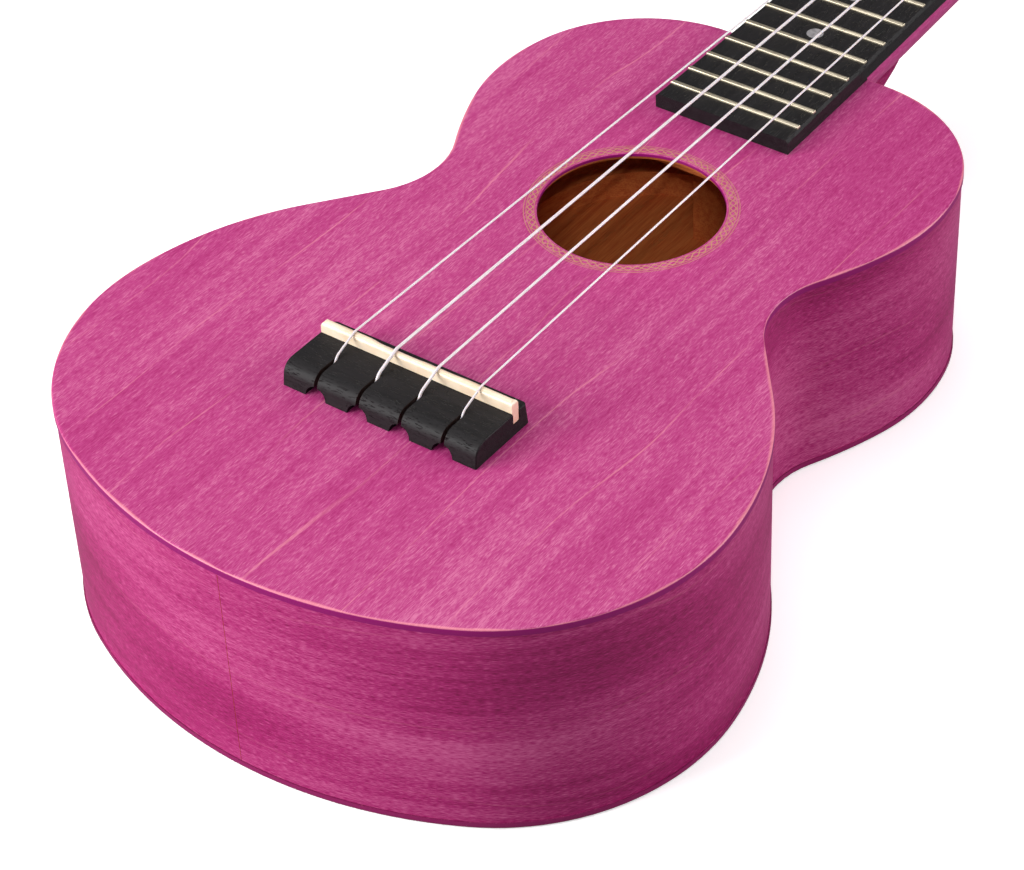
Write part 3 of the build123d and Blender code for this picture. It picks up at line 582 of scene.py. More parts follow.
@dataclass(frozen=True)
class Finishes:
    """Every finish on the instrument, built once."""

    top: StainedWood = StainedWood("stained_top_satin_lacquer", *TOP_STAIN, Grain.ALONG_NECK, edge="860a60")
    side: StainedWood = StainedWood(
        "stained_side_satin_lacquer", "7e0648", "a42068", "c4588c", Grain.ROUND_SIDES,
        ring_lines=0.12, shine=0.34, cloudiness=1.3,
    )
    # the back's dark rim line is painted shade on the ledge that shows beneath the sides
    back: StainedWood = StainedWood(
        "stained_back_satin_lacquer", "8a1656", "a32a68", "c05a8a", Grain.ALONG_NECK,
        edge="8e1c5c", wear_and_ledge_shade="540836",
    )
    neck: StainedWood = StainedWood(
        "stained_neck_satin_lacquer", "981c60", "b0367a", "cc6496", Grain.ALONG_NECK
    )
    rosette: BraidedInlay = BraidedInlay("braided_inlay_satin_lacquer", *TOP_STAIN, Grain.ALONG_NECK)
    bare: BareWood = BareWood("bare_spruce_planed", *BARE_SPRUCE, Grain.ALONG_NECK)
    bare_across: BareWood = BareWood("bare_spruce_planed_across", *BARE_SPRUCE, Grain.ACROSS)
    fretboard: BlackWood = BlackWood("dyed_fretboard_oiled", "0e0c0e", "1b181a", Grain.ALONG_NECK, 0.42)
    bridge: BlackWood = BlackWood("dyed_bridge_sanded", "0e0b0d", "1c181a", Grain.ACROSS, 0.5, cut_pitch=14.0)
    heel: BlackWood = BlackWood("dyed_heel_cap_sanded", "0f0d0f", "211e20", Grain.ACROSS, 0.5)
    cream: Moulded = Moulded("cream_saddle_plastic_buffed", "e0c8ac", "ead8c0", 0.30, glow=0.2)
    cream_end: Moulded = Moulded("cream_saddle_plastic_sawn", "e4b49e", "ecc4b0", 0.55, glow=0.1)
    pearl: Moulded = Moulded("pearl_plastic_cast", "d9dcd2", "f4f4ee", 0.18, cloud_size=1.6)
    dot: Moulded = Moulded("dull_pearl_dot_polished", "767274", "949092", 0.35, cloud_size=1.2)
    nylon: Moulded = Moulded(
        "clear_nylon_drawn", "e6dade", "eee4e8", 0.24, glow=0.2, clear=0.15, scratches=0.0
    )
    fret: Metal = Metal("nickel_fret_wire_polished", "aea490", "b8ae9a", 0.42, line=4.0, spread=0.02)
    plate: Metal = Metal("nickel_plate_bright", "c4c6ca", "e6e8ec", 0.16)
    brass: Metal = Metal("cut_brass", "b08a3c", "dcb768", 0.28)

    def build(self) -> dict[str, bpy.types.Material]:
        """Builds every finish.

        Returns:
            The materials, by their fields' names.
        """
        return {name: getattr(self, name).build() for name in self.__dataclass_fields__}


# --------------------------------------------------------------- mesh helpers
def finish_mesh(bm: Mesh, name: str, place: Matrix, *materials: bpy.types.Material) -> bpy.types.Object:
    """Turns a built shape into an object at the origin, in the row frame.

    Args:
        bm: The shape, in its own frame; it is freed.
        name: The object's name.
        place: From the shape's frame to the row frame.
        *materials: The piece's finishes.

    Returns:
        The new object.
    """
    bmesh.ops.remove_doubles(bm, verts=bm.verts, dist=0.004)
    bmesh.ops.recalc_face_normals(bm, faces=bm.faces)
    bmesh.ops.transform(bm, matrix=place, verts=bm.verts)
    for face in bm.faces:
        face.smooth = True
    mesh = bpy.data.meshes.new(name)
    bm.to_mesh(mesh)
    bm.free()
    for material in materials:
        mesh.materials.append(material)
    piece = bpy.data.objects.new(name, mesh)
    bpy.context.scene.collection.objects.link(piece)
    mesh.set_sharp_from_angle(angle=math.radians(32))
    return piece


def hand_over(piece: bpy.types.Object, body: str, slot: str, *nodes: str) -> None:
    """Puts a piece on its body, in place of its CAD nodes.

    Args:
        piece: The finished piece.
        body: The CAD body that it moves with.
        slot: The record's material slot; not used.
        *nodes: The CAD nodes that it stands for.
    """
    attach(piece, body)
    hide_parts(*nodes)
    LOG.info("%s: %d faces", piece.name, len(piece.data.polygons))


def everything(bm: Mesh) -> list[Any]:
    """Lists all of a mesh, as the mesh operators take it.

    Args:
        bm: The mesh.

    Returns:
        Its vertices, edges and faces.
    """
    return [*bm.verts, *bm.edges, *bm.faces]


def only(kind: type, items: Iterable[Any]) -> list[Any]:
    """Picks one kind of element out of what a mesh operator gives back.

    Args:
        kind: The kind, such as Edge.
        items: The elements.

    Returns:
        The elements of that kind.
    """
    return [item for item in items if isinstance(item, kind)]


def chain_verts(edges: Iterable[Edge]) -> set[Vert]:
    """Collects the vertices that some edges join.

    Args:
        edges: The edges.

    Returns:
        Their vertices.
    """
    return {vert for edge in edges for vert in edge.verts}


def edges_round(verts: Iterable[Vert]) -> list[Edge]:
    """Collects the edges that meet some vertices.

    Args:
        verts: The vertices.

    Returns:
        Their edges, each once.
    """
    return list({edge for vert in verts for edge in vert.link_edges})


def bridge(bm: Mesh, chains: Sequence[list[Edge]]) -> list[Face]:
    """Joins each chain of edges to the next with a strip of faces.

    Args:
        bm: The mesh.
        chains: The chains, in order.

    Returns:
        The last strip's faces.
    """
    strip = []
    for first, second in zip(chains, chains[1:]):
        strip = bmesh.ops.bridge_loops(bm, edges=first + second)["faces"]
    return strip


def round_edges(bm: Mesh, edges: list[Edge], offset: float, segments: int) -> list[Face]:
    """Rounds some edges.

    Args:
        bm: The mesh.
        edges: The edges.
        offset: The rounding's reach on each face.
        segments: How many steps it has.

    Returns:
        The new faces.
    """
    how = {"offset_type": "OFFSET", "profile": 0.5, "affect": "EDGES", "material": -1}
    return bmesh.ops.bevel(bm, geom=edges, offset=offset, segments=segments, **how)["faces"]


# --------------------------------------------------------------------- rods
ROD_SIDES = 12
BEND_STEP = 6.0  # degrees of bend between two rings of a rod


def start_rod(bm: Mesh, place: Vector, ahead: Vector, radius: float) -> list[Edge]:
    """Draws the round end of a rod.

    Args:
        bm: The mesh to add it to.
        place: The end's middle.
        ahead: The way that the rod runs.
        radius: The rod's radius.

    Returns:
        The end's rim.
    """
    turn = Vector((0, 0, 1)).rotation_difference(ahead).to_matrix().to_4x4()
    matrix = Matrix.Translation(place) @ turn
    end = bmesh.ops.create_circle(bm, cap_ends=True, segments=ROD_SIDES, radius=radius, matrix=matrix)
    return edges_round(end["verts"])


def tube(bm: Mesh, corners: Sequence[Vector], radius: float, bend: float) -> None:
    """Draws a round rod along straight runs joined by arcs.

    Args:
        bm: The mesh to add it to.
        corners: The route's ends and corners.
        radius: The rod's radius.
        bend: The radius of the arc at each corner.
    """
    ahead = (corners[1] - corners[0]).normalized()
    rim = start_rod(bm, corners[0], ahead, radius)
    here = corners[0].copy()
    for place, corner in enumerate(corners[1:], 1):
        last = place == len(corners) - 1
        onward = ahead if last else (corners[place + 1] - corner).normalized()
        angle = ahead.angle(onward, 0.0)
        trim = 0.0 if last else bend * math.tan(angle / 2)
        goal = corner - ahead * trim
        grown = bmesh.ops.extrude_edge_only(bm, edges=rim)["geom"]
        verts = only(Vert, grown)
        rim = [edge for edge in only(Edge, grown) if all(vert in verts for vert in edge.verts)]
        bmesh.ops.translate(bm, vec=goal - here, verts=verts)
        here = goal
        if not last and angle > 1e-4:
            axis = ahead.cross(onward).normalized()
            centre = here + axis.cross(ahead) * bend
            steps = max(2, round(math.degrees(angle) / BEND_STEP))
            spun = bmesh.ops.spin(bm, geom=rim, cent=centre, axis=axis, angle=angle, steps=steps)
            rim = only(Edge, spun["geom_last"])
            here = corner + onward * trim
        ahead = onward
    bmesh.ops.edgenet_fill(bm, edges=rim)


# ---------------------------------------------------------------------- body
@dataclass
class Outline:
    """Half the body's outline, from the tail's middle to the neck joint."""

    tail_y: float = -84.3
    # (radius, turn in degrees), left turns positive; with no radius, a straight length
    runs: tuple[tuple[float, float], ...] = (
        (138.5, 27.1),
        (67.9, 69.9),
        (99.4, 31.4),
        (0, 22.4),
        (28.1, -66.8),
        (146.0, 9.7),
        (63.7, 33.3),
        (47.1, 75.4),
    )
    step: float = 3.2

    def half(self, bm: Mesh, inset: float, height: float) -> list[Edge]:
        """Draws half the outline on +X as a chain of edges, which last runs straight to the middle.

        Args:
            bm: The mesh to draw in.
            inset: How far inside the outline to draw.
            height: The chain's Z.

        Returns:
            The chain's edges, from the tail to the neck.
        """
        along = bm.verts.layers.float.get("along") or bm.verts.layers.float.new("along")
        vert = bmesh.ops.create_vert(bm, co=(0, self.tail_y + inset, height))["vert"][0]
        vert[along] = 0.0
        heading = Vector((1, 0, 0))
        done = 0.0
        chain = []
        for radius, amount in (*self.runs, (0, None)):
            if radius:
                angle = math.radians(amount)
                moved = radius - inset * math.copysign(1.0, angle)
                left = Vector((-heading.y, heading.x, 0)) * math.copysign(moved, angle)
                steps = max(2, round(radius * abs(angle) / self.step))
                before = set(bm.edges)
                bmesh.ops.spin(bm, geom=[vert], cent=vert.co + left, axis=(0, 0, 1), angle=angle, steps=steps)
                fresh = [edge for edge in bm.edges if edge not in before]
                chain += fresh
                heading = Matrix.Rotation(angle, 3, "Z") @ heading
                vert = self.number(vert, fresh, along, done, radius * abs(angle) / steps)
                done += radius * abs(angle)
            else:
                length = vert.co.x if amount is None else amount
                steps = 1 if amount is None else round(length / self.step)
                for _ in range(steps):
                    grown = bmesh.ops.extrude_vert_indiv(bm, verts=[vert])
                    chain += grown["edges"]
                    vert = grown["verts"][0]
                    bmesh.ops.translate(bm, vec=heading * (length / steps), verts=[vert])
                    done += length / steps
                    vert[along] = done
        return chain

    @staticmethod
    def number(start: Vert, fresh: list[Edge], along: Any, done: float, pace: float) -> Vert:
        """Walks a new stretch of chain and writes each vertex's distance from the tail.

        Args:
            start: The stretch's first vertex.
            fresh: Its edges.
            along: The layer that holds the distances.
            done: The distance of the first vertex.
            pace: The distance from one vertex to the next.

        Returns:
            The stretch's last vertex.
        """
        left = list(fresh)
        vert = start
        while left:
            edge = next(item for item in left if vert in item.verts)
            left.remove(edge)
            vert = edge.other_vert(vert)
            done += pace
            vert[along] = done
        return vert


@dataclass
class BodyShell:
    """The hollow body's shell: soundboard, sides and back."""

    finishes: dict[str, bpy.types.Material]
    outline: Outline = field(default_factory=Outline)
    top_thickness: float = 2.2
    back_thickness: float = 2.0
    side_thickness: float = 1.8
    overhang: float = 0.4
    # (in, down) of each step round a plate's eased corner
    corner: tuple[tuple[float, float], ...] = ((0.0, 0.55), (0.1, 0.25), (0.3, 0.08), (0.6, 0.0))
    insets: tuple[float, ...] = (0.7, 1.4, 2.4, 4.0, 7.0, 12.0)  # of the loops on a plate's face
    seam: float = 0.09  # of each side from the middle line
    hole_y: float = 98.7
    hole_radius: float = 27.1
    channel: tuple[float, float, float] = (27.7, 31.3, 0.9)  # two radii and a depth
    far_from_rim: float = 30.0

    def half_circle(self, bm: Mesh, radius: float, height: float) -> list[Edge]:
        """Draws half a ring round the sound hole's middle, on +X.

        Args:
            bm: The mesh to draw in.
            radius: The ring's radius.
            height: The ring's Z.

        Returns:
            The chain's edges.
        """
        vert = bmesh.ops.create_vert(bm, co=(0, self.hole_y - radius, height))["vert"]
        known = set(bm.edges)
        middle = (0, self.hole_y, height)
        bmesh.ops.spin(bm, geom=vert, cent=middle, axis=(0, 0, 1), angle=math.pi, steps=48)
        return [edge for edge in bm.edges if edge not in known]

    @staticmethod
    def fill_between(bm: Mesh, outer: list[Edge], inner: list[Edge]) -> list[Face]:
        """Fills half a plate, between its outline and the sound hole, with one flat face.

        Args:
            bm: The plate's mesh.
            outer: The outline's half chain.
            inner: The sound hole's half circle.

        Returns:
            The new face, in a list.
        """
        ends = [[vert for vert in chain_verts(chain) if abs(vert.co.x) < 0.001] for chain in (outer, inner)]
        tails = [min(pair, key=lambda vert: vert.co.y) for pair in ends]
        heads = [max(pair, key=lambda vert: vert.co.y) for pair in ends]
        joins = [bmesh.ops.contextual_create(bm, geom=pair)["edges"][0] for pair in (tails, heads)]
        return bmesh.ops.contextual_create(bm, geom=outer + inner + joins)["faces"]

    def edge_loops(self, bm: Mesh, profile: Iterable[tuple[float, float]]) -> list[list[Edge]]:
        """Draws half the outline once for each step of a plate's profile.

        Args:
            bm: The plate's mesh, still empty.
            profile: The inset and height of each loop.

        Returns:
            The loops, whose vertices know how far in from the plate's edge they are.
        """
        bm.verts.layers.float.new("along")
        rim = bm.verts.layers.float.new("rim")
        loops = []
        for inset, height in profile:
            loop = self.outline.half(bm, inset, height)
            for vert in chain_verts(loop):
                vert[rim] = inset + self.overhang
            loops.append(loop)
        return loops

    def finish_plate(self, bm: Mesh, name: str, place: Matrix, finish: str, slot: str, node: str) -> None:
        """Mirrors a half plate and hands it over.

        Args:
            bm: The half plate.
            name: The piece's name.
            place: From the plate's frame to the row frame.
            finish: The name of its outer finish.
            slot: The record's material slot; passed on to hand_over, which does not use it.
            node: The CAD node that it stands for.
        """
        bmesh.ops.mirror(bm, geom=everything(bm), matrix=Matrix.Identity(4), merge_dist=0.002, axis="X")
        piece = finish_mesh(bm, name, place, self.finishes[finish], self.finishes["bare"])
        hand_over(piece, "body", slot, node)

    def build_soundboard(self) -> None:
        """Builds the plate with eased edges, the sound hole and the rosette's channel."""
        bm = bmesh.new()
        out = -self.overhang
        under = -self.top_thickness
        profile = [(1.0, under), (out, under), (out, -1.5)]
        profile += [(out + step, -drop) for step, drop in self.corner]
        profile += [(inset, 0.0) for inset in self.insets]
        loops = self.edge_loops(bm, profile)
        low, high, deep = self.channel
        hole = self.hole_radius
        # (radius, height) from the channel's outer wall over the hole's eased corners
        rings = ((high, 0), (high, -deep), (low, -deep), (low, 0), (hole + 0.3, 0), (hole + 0.08, -0.1))
        rings += ((hole, -0.35), (hole, -1.0), (hole + 0.1, -1.1), (hole + 0.7, under))
        circles = [self.half_circle(bm, radius, height) for radius, height in rings]
        rim = bm.verts.layers.float["rim"]
        for vert in {vert for ring in circles for vert in chain_verts(ring)}:
            vert[rim] = self.far_from_rim
        bridge(bm, loops)
        chamfer = bridge(bm, circles)
        self.fill_between(bm, loops[-1], circles[0])
        for face in (*chamfer, *self.fill_between(bm, loops[0], circles[-1])):
            face.material_index = 1
        self.finish_plate(bm, "soundboard_plate", BOARD, "top", "stained_top", "soundboard")

    def build_back(self) -> None:
        """Builds the back plate, with its outer corner eased."""
        bm = bmesh.new()
        out = -self.overhang
        profile = [(1.0, self.back_thickness), (out, self.back_thickness)]
        profile += [(out + step, drop) for step, drop in self.corner]
        profile += [(inset, 0.0) for inset in self.insets]
        loops = self.edge_loops(bm, profile)
        bridge(bm, loops)
        for loop, finish in ((loops[0], 1), (loops[-1], 0)):
            ends = [vert for vert in chain_verts(loop) if abs(vert.co.x) < 0.001]
            middle = bmesh.ops.contextual_create(bm, geom=ends)["edges"]
            for face in bmesh.ops.contextual_create(bm, geom=loop + middle)["faces"]:
                face.material_index = finish
        place = TO_METRES @ Matrix.Translation((0, BACK_SHIFT, 0))
        self.finish_plate(bm, "back_plate_bookmatched", place, "back", "stained_side", "back_plate")

    def build_sides(self) -> None:
        """Builds two bent sides that meet in a fine seam at the tail."""
        for name, hand in (("side_treble", 1), ("side_bass", -1)):
            bm = bmesh.new()
            chain = self.outline.half(bm, 0.0, -self.top_thickness)
            grown = bmesh.ops.extrude_edge_only(bm, edges=chain)["geom"]
            bmesh.ops.translate(bm, vec=(0, 0, -BODY_DEPTH), verts=only(Vert, grown))
            bmesh.ops.recalc_face_normals(bm, faces=bm.faces)
            self.trim_to_back(bm)
            inside = Vector((0, 50, 0))
            if sum(face.normal.dot(face.calc_center_median() - inside) for face in bm.faces) < 0:
                bmesh.ops.reverse_faces(bm, faces=bm.faces)
            outer = set(bm.faces)
            bmesh.ops.solidify(bm, geom=bm.faces, thickness=self.side_thickness)
            for face in bm.faces:
                face.material_index = 0 if face in outer else 1
            ends = [vert for vert in bm.verts if vert.co.x < 0.5]
            bmesh.ops.translate(bm, vec=(self.seam, 0, 0), verts=ends)
            if hand < 0:
                bmesh.ops.scale(bm, vec=(-1, 1, 1), verts=bm.verts)
                along = bm.verts.layers.float["along"]
                for vert in bm.verts:
                    vert[along] *= -1
            piece = finish_mesh(bm, name + "_panel", BOARD, self.finishes["side"], self.finishes["bare"])
            hand_over(piece, "body", "stained_side", name)

    def trim_to_back(self, bm: Mesh) -> None:
        """Cuts away what is below the back plate's inner face.

        Args:
            bm: The side's mesh, in the soundboard's frame.
        """
        into_board = BOARD.inverted()
        cut = into_board @ Vector((0, 0, self.back_thickness * MM))
        normal = (into_board.to_3x3() @ Vector((0, 0, 1))).normalized()
        bmesh.ops.bisect_plane(bm, geom=everything(bm), plane_co=cut, plane_no=normal, clear_inner=True)

    def build(self) -> None:
        """Builds the soundboard, the back and the sides."""
        self.build_soundboard()
        self.build_back()
        self.build_sides()


# ------------------------------------------------------------------ the rest
@dataclass
class Frets:
    """Domed fret wire with rounded ends."""

    finishes: dict[str, bpy.types.Material]
    scale_length: float = 380.0
    compensation: float = 2.0
    count: int = 16
    board_end: tuple[float, float] = (145.3, 23.2)  # place, half width
    nut: tuple[float, float] = (382.0, 17.5)
    inset: float = 0.7
    width: float = 1.5
    height: float = 0.9
    whole: float = 1.6  # the wire's height with its sunk part, by the height that shows
    crown: float = 0.7
    board_top: float = 70.1

    def half_length(self, y: float) -> float:
        """Gives half the length of a fret.

        Args:
            y: The fret's place.

        Returns:
            The distance from its middle to its end.
        """
        share = (y - self.board_end[0]) / (self.nut[0] - self.board_end[0])
        return self.board_end[1] + share * (self.nut[1] - self.board_end[1]) - self.inset

    def build(self) -> None:
        """Builds all the frets as one piece."""
        bm = bmesh.new()
        for number in range(1, self.count + 1):
            y = self.compensation + self.scale_length / 2 ** (number / 12)
            made = bmesh.ops.create_cube(bm, size=1.0)["verts"]
            size = (2 * self.half_length(y), self.width, self.height * self.whole)
            bmesh.ops.scale(bm, vec=size, verts=made)
            top = max(vert.co.z for vert in made)
            edges = edges_round(made)
            ridge = [edge for edge in edges if min(vert.co.z for vert in edge.verts) > top - 0.001]
            domed = round_edges(bm, ridge, self.crown, 6)
            wire = {vert for face in domed for vert in face.verts} | {vert for vert in made if vert.is_valid}
            bmesh.ops.translate(bm, vec=(0, y, self.board_top + self.height - top), verts=list(wire))
        piece = finish_mesh(bm, "fret_wire", TO_METRES, self.finishes["fret"])
        piece.data.set_sharp_from_angle(angle=math.radians(60))
        hand_over(piece, "body", "fret_metal", "frets")


@dataclass
class Saddle:
    """A saddle whose crown is filed forward or back under each string, to play in tune."""

    finishes: dict[str, bpy.types.Material]
    length: float = 63.4
    thickness: float = 2.8
    middle_y: float = -0.75
    seat: float = 3.5
    crown: float = 10.4
    corner: float = 1.3
    spacing: float = 14.0
    slices: int = 90
    # how far the crown is filed away at the front under each string, bass to treble
    filed: tuple[float, ...] = (0.1, 1.25, 0.7, 0.25)
    flat: float = 0.3  # the share of a space that keeps one string's filing, at each end
    slope: float = 0.9  # how far the filing runs on behind the front
    drop: float = 0.72

    def share_filed(self, x: float) -> float:
        """Gives how far the crown is filed away at the front, at a place along the saddle.

        Args:
            x: The place, in millimetres from the middle.

        Returns:
            The distance.
        """
        place = min(max(x / self.spacing + 1.5, 0.0), 2.999)
        low = int(place)
        step = min(max((place - low - self.flat) / (1 - 2 * self.flat), 0.0), 1.0)
        smooth = step * step * (3 - 2 * step)
        return self.filed[low] + (self.filed[low + 1] - self.filed[low]) * smooth

    def build(self) -> None:
        """Builds the saddle."""
        bm = bmesh.new()
        made = bmesh.ops.create_cube(bm, size=1.0)["verts"]
        height = self.crown - self.seat
        bmesh.ops.scale(bm, vec=(self.length, self.thickness, height), verts=made)
        bmesh.ops.translate(bm, vec=(0, self.middle_y, self.seat + height / 2), verts=made)
        top_edges = [edge for edge in bm.edges if min(vert.co.z for vert in edge.verts) > self.crown - 0.01]
        round_edges(bm, top_edges, self.corner, 5)
        for number in range(1, self.slices):
            x = self.length * (number / self.slices - 0.5)
            bmesh.ops.bisect_plane(bm, geom=everything(bm), plane_co=(x, 0, 0), plane_no=(1, 0, 0))
        front = self.middle_y + self.thickness / 2
        for vert in bm.verts:
            above = (vert.co.z - (self.crown - self.corner)) / self.corner
            if above < -0.001 or abs(vert.co.x) > self.length / 2 - self.corner:
                continue
            filed = self.share_filed(vert.co.x)
            reach = filed + self.slope
            from_front = front - vert.co.y
            if from_front < reach:
                vert.co.z -= self.drop * min(1.0, filed) * (1 - from_front / reach)
        finishes = (self.finishes["cream"], self.finishes["cream_end"])
        piece = finish_mesh(bm, "saddle_compensated", BOARD, *finishes)
        for face in piece.data.polygons:
            face.material_index = 1 if abs(face.normal.x) > 0.95 else 0
        hand_over(piece, "body", "cream_plastic", "saddle")


@dataclass
class Strings:
    """Four nylon strings from the bridge to their posts."""

    finishes: dict[str, bpy.types.Material]
    # name: place across the set, radius, X and Y of the post on the headstock
    sizes: dict[str, tuple[float, float, float, float]] = field(
        default_factory=lambda: {
            "g": (-1.5, 0.325, -19.5, 38.0),
            "c": (-0.5, 0.45, -21.5, 86.0),
            "e": (0.5, 0.40, 21.5, 86.0),
            "a": (1.5, 0.30, 19.5, 38.0),
        }
    )
    saddle_spacing: float = 14.0
    nut_spacing: float = 9.43
    lift: float = 0.16
    knot: tuple[float, float] = (-13.3, 1.6)
    knot_radius: float = 1.3
    kerf_exit: tuple[float, float] = (-8.5, 7.9)
    crown: tuple[float, float] = (-0.75, 10.4)
    nut_break: tuple[float, float] = (382.8, 71.5)
    post_radius: float = 3.0
    gap: float = 0.1  # between the fixed turn, the post and the turns below
    fixed_turn: float = math.radians(290)
    veneer: float = 1.5
    wrap_height: float = 2.6
    wrap_turns: int = 2
    post_hole: float = 8.6
    end: float = 2.5  # of a string, past its post's hole
    bend: float = 3.0

    def route(self, name: str) -> list[Vector]:
        """Finds the corners of a string's route.

        Args:
            name: The string's name.

        Returns:
            The corners from the knot to where the string meets its post, in
            millimetres of the row frame.
        """
        place, radius, post_x, post_y = self.sizes[name]
        to_mm = TO_METRES.inverted()
        board, head = to_mm @ BOARD, to_mm @ HEAD
        x = place * self.saddle_spacing
        corners = [board @ Vector((x, *self.knot)), board @ Vector((x, *self.kerf_exit))]
        corners.append(board @ Vector((x, self.crown[0], self.crown[1] + radius + self.lift)))
        nut = Vector((place * self.nut_spacing, self.nut_break[0], self.nut_break[1] + radius + self.lift))
        corners.append(nut)
        wind = self.post_radius + self.gap + radius
        height = self.veneer + self.wrap_height + 2 * radius * self.wrap_turns + self.gap + radius
        start = head.inverted() @ nut
        away = Vector((post_x - start.x, post_y - start.y, 0))
        reach = math.sqrt(away.length**2 - wind**2)
        turn = math.asin(wind / away.length) * math.copysign(1, post_x)
        touch = Vector((start.x, start.y, 0)) + Matrix.Rotation(turn, 3, "Z") @ away.normalized() * reach
        corners.append(head @ Vector((touch.x, touch.y, height)))
        return corners

    def build(self) -> None:
        """Builds each string, and the turns on its post."""
        up = (TO_METRES.inverted() @ HEAD).to_3x3() @ Vector((0, 0, 1))
        for name, (_, radius, post_x, post_y) in self.sizes.items():
            corners = self.route(name)
            bm = bmesh.new()
            tube(bm, corners, radius, self.bend)
            knot = bmesh.ops.create_icosphere(bm, subdivisions=3, radius=self.knot_radius)["verts"]
            bmesh.ops.translate(bm, vec=corners[0], verts=knot)
            ahead = (corners[-1] - corners[-2]).normalized()
            inward = up.cross(ahead).normalized() * math.copysign(1, -post_x)
            self.wind_on(bm, corners[-1], ahead, inward, radius)
            piece = finish_mesh(bm, "string_" + name + "_gut", TO_METRES, self.finishes["nylon"])
            hand_over(piece, "body", "string_nylon", "string_" + name)
            self.build_wraps(name, radius, post_x, post_y)

    def wind_on(self, bm: Mesh, touch: Vector, ahead: Vector, inward: Vector, radius: float) -> None:
        """Carries a string on round its post.

        Args:
            bm: The string's mesh.
            touch: Where the string meets the post.
            ahead: The way that it runs there.
            inward: The way from there to the post's middle.
            radius: The string's radius.
        """
        rim = start_rod(bm, touch, ahead, radius)
        centre = touch + inward * (self.post_radius + self.gap + radius)
        axis = ahead.cross(inward)
        spun = bmesh.ops.spin(bm, geom=rim, cent=centre, axis=axis, angle=self.fixed_turn, steps=40)
        bmesh.ops.edgenet_fill(bm, edges=only(Edge, spun["geom_last"]))

    def build_wraps(self, name: str, radius: float, x: float, y: float) -> None:
        """Builds the turns that go round with the post, and the end through its hole.

        Args:
            name: The string's name.
            radius: The string's radius.
            x: The post's X on the headstock.
            y: The post's Y on the headstock.
        """
        bm = bmesh.new()
        upright = Matrix.Rotation(math.pi / 2, 4, "X")
        for layer in range(self.wrap_turns):
            height = self.veneer + self.wrap_height + radius * (1 + 2 * layer)
            place = Matrix.Translation((x + self.post_radius + radius, y, height)) @ upright
            ring = bmesh.ops.create_circle(bm, segments=ROD_SIDES, radius=radius, matrix=place)["verts"]
            turn = {"cent": (x, y, height), "axis": (0, 0, 1), "angle": 2 * math.pi, "steps": 48}
            bmesh.ops.spin(bm, geom=edges_round(ring), use_merge=True, **turn)
        height = self.veneer + self.post_hole
        reach = self.post_radius + self.end
        tube(bm, [Vector((x - reach, y, height)), Vector((x + reach, y, height))], radius, self.bend)
        piece = finish_mesh(bm, "string_turns_" + name, HEAD, self.finishes["nylon"])
        hand_over(piece, "post_" + name, "string_nylon", "string_wraps_" + name)


def dress_cad_nodes(finishes: dict[str, bpy.types.Material]) -> None:
    """Gives each CAD node that stays its finish.

    Args:
        finishes: The built materials, by name.
    """
    plated = ["tuner_screws", "tuner_bushings"]
    for part in ("tuner_plate_", "string_post_", "gear_screw_", "worm_shaft_"):
        plated += [part + name for name in STRING_NAMES]
    dressing = {
        "neck": ("neck", "headstock_veneer"),
        "bare": ("neck_block", "tail_block", "fan_braces", "neck_dowels", "top_linings", "back_linings"),
        "bare_across": ("top_brace_upper", "top_brace_lower", "bridge_plate", "back_braces"),
        "bridge": ("bridge",),
        "heel": ("heel_cap",),
        "fretboard": ("fretboard",),
        "cream": ("nut",),
        "dot": ("position_dots", "side_dots"),
        "pearl": ["tuner_button_" + name for name in STRING_NAMES],
        "rosette": ("rosette",),
        "brass": ["gear_" + name for name in STRING_NAMES],
        "plate": plated,
    }
    for finish, nodes in dressing.items():
        for node in nodes:
            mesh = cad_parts[node].data
            mesh.materials.clear()
            mesh.materials.append(finishes[finish])


# -------------------------------------------------------------------- studio
def aim(thing: bpy.types.Object, place: Place, target: Vector) -> None:
    """Hangs a light in the scene and turns it to a target.

    Args:
        thing: The light.
        place: Where it hangs.
        target: What it points at.
    """
    thing.location = place
    thing.rotation_euler = (target - Vector(place)).to_track_quat("-Z", "Y").to_euler()
    bpy.context.scene.collection.objects.link(thing)


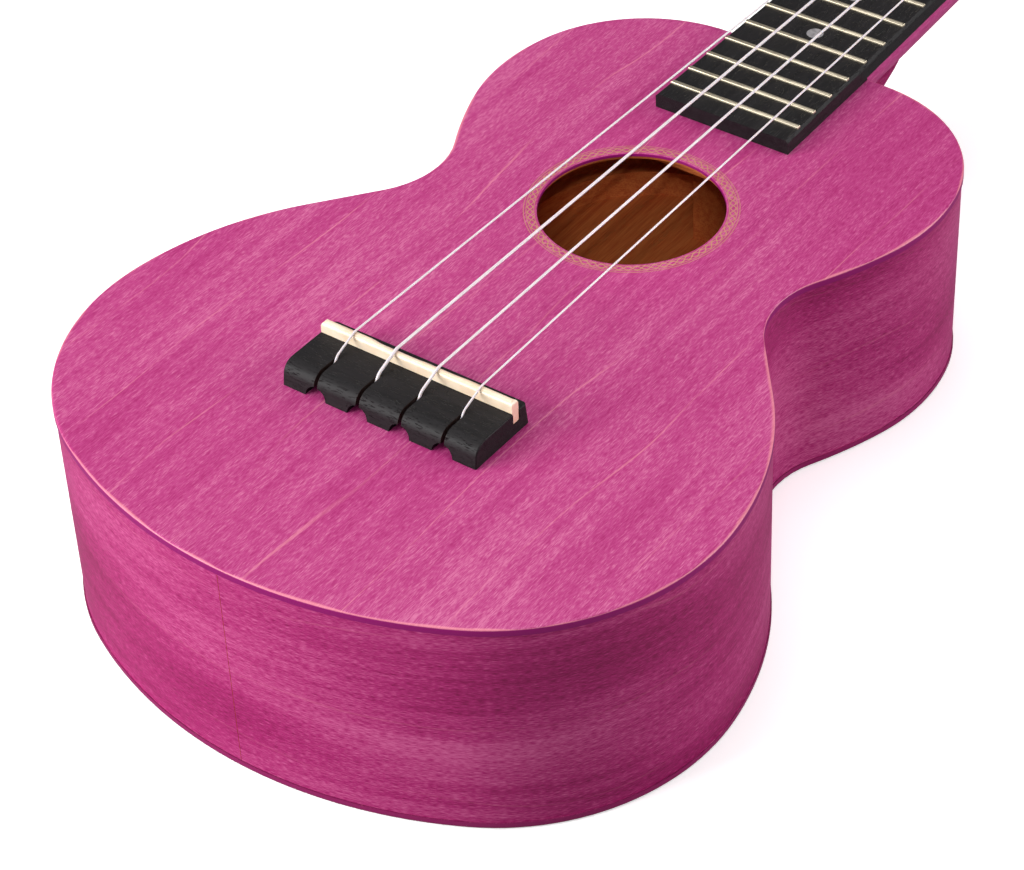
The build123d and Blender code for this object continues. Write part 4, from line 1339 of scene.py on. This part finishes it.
@dataclass
class Studio:
    """A pale floor, soft lights and the camera, in metres."""

    lens: float = 109.75
    place: Place = (0.41714, -0.48492, 0.59883)
    turn: Place = (49.662, 1.800, 34.714)
    shift: tuple[float, float] = (-0.0957, -0.0225)
    room: float = 0.28
    backlight: float = 0.35
    floor_reach: float = 6.0
    floor_drop: float = 0.0003
    lamp_aim: Place = (0.0, 0.06, 0.05)
    snoot_place: Place = (0.43, -0.50, 0.66)
    snoot_aim: Place = (6.0, 94.0, 0.0)  # in millimetres on the soundboard
    snoot_power: float = 8.0
    snoot_angle: float = 3.2
    # name, place in metres, size in metres, power in watts
    lamps: tuple[tuple[str, Place, float, float], ...] = (
        ("softbox_above", (-0.25, 0.20, 1.50), 1.1, 10.5),
        ("softbox_left", (-0.85, -1.00, 0.55), 0.9, 30.0),
        ("card_right", (1.25, 0.95, 0.42), 0.9, 19.0),
        ("fill_by_camera", (0.52, -0.58, 0.85), 0.25, 1.6),
    )

    def paper(self) -> bpy.types.Material:
        """Builds pale background paper, lit a little from behind, which gives back less light than it shows.

        Returns:
            The material.
        """
        material, tree, shader = start_material("floor_paper_pale")
        seen = add(tree, "ShaderNodeLightPath").outputs["Is Camera Ray"]
        tone = paint_over(tree, seen, linear("8c8488"), "fdfcfc")
        lit = calculate(tree, "MULTIPLY", seen, self.backlight)
        connect(tree, shader, {"Base Color": tone, "Roughness": 0.9, "Specular IOR Level": 0.1})
        connect(tree, shader, {"Emission Color": linear("ffffff"), "Emission Strength": lit})
        return material

    def build(self) -> None:
        """Sets the floor, the lights, the world and the camera."""
        scene = bpy.context.scene
        bm = bmesh.new()
        bmesh.ops.create_grid(bm, x_segments=1, y_segments=1, size=self.floor_reach)
        finish_mesh(bm, "floor", Matrix.Translation((0, 0, -self.floor_drop)), self.paper())
        world = bpy.data.worlds.new("studio_world")
        world.use_nodes = True
        background = world.node_tree.nodes["Background"]
        connect(world.node_tree, background, {"Color": linear("ffffff"), "Strength": self.room})
        scene.world = world
        for name, place, size, power in self.lamps:
            data = bpy.data.lights.new(name, "AREA")
            data.size = size
            data.energy = power
            aim(bpy.data.objects.new(name, data), place, Vector(self.lamp_aim))
        self.snoot()
        data = bpy.data.cameras.new("camera")
        data.lens = self.lens
        data.sensor_width = 36.0
        data.shift_x, data.shift_y = self.shift
        data.clip_start = 0.01
        camera = bpy.data.objects.new("camera", data)
        camera.location = self.place
        camera.rotation_euler = tuple(math.radians(angle) for angle in self.turn)
        scene.collection.objects.link(camera)
        scene.camera = camera
        scene.view_settings.view_transform = "Standard"

    def snoot(self) -> None:
        """Aims a narrow lamp through the sound hole, at the inside of the back."""
        data = bpy.data.lights.new("snoot_into_sound_hole", "SPOT")
        data.energy = self.snoot_power
        data.spot_size = math.radians(self.snoot_angle)
        data.spot_blend = 0.5
        data.shadow_soft_size = 0.01
        lamp = bpy.data.objects.new("snoot_into_sound_hole", data)
        aim(lamp, self.snoot_place, BOARD @ Vector(self.snoot_aim))


def main() -> None:
    """Builds the whole instrument and its studio."""
    finishes = Finishes().build()
    dress_cad_nodes(finishes)
    BodyShell(finishes).build()
    Frets(finishes).build()
    Saddle(finishes).build()
    Strings(finishes).build()
    Studio().build()


if __name__ == "__main__":
    main()
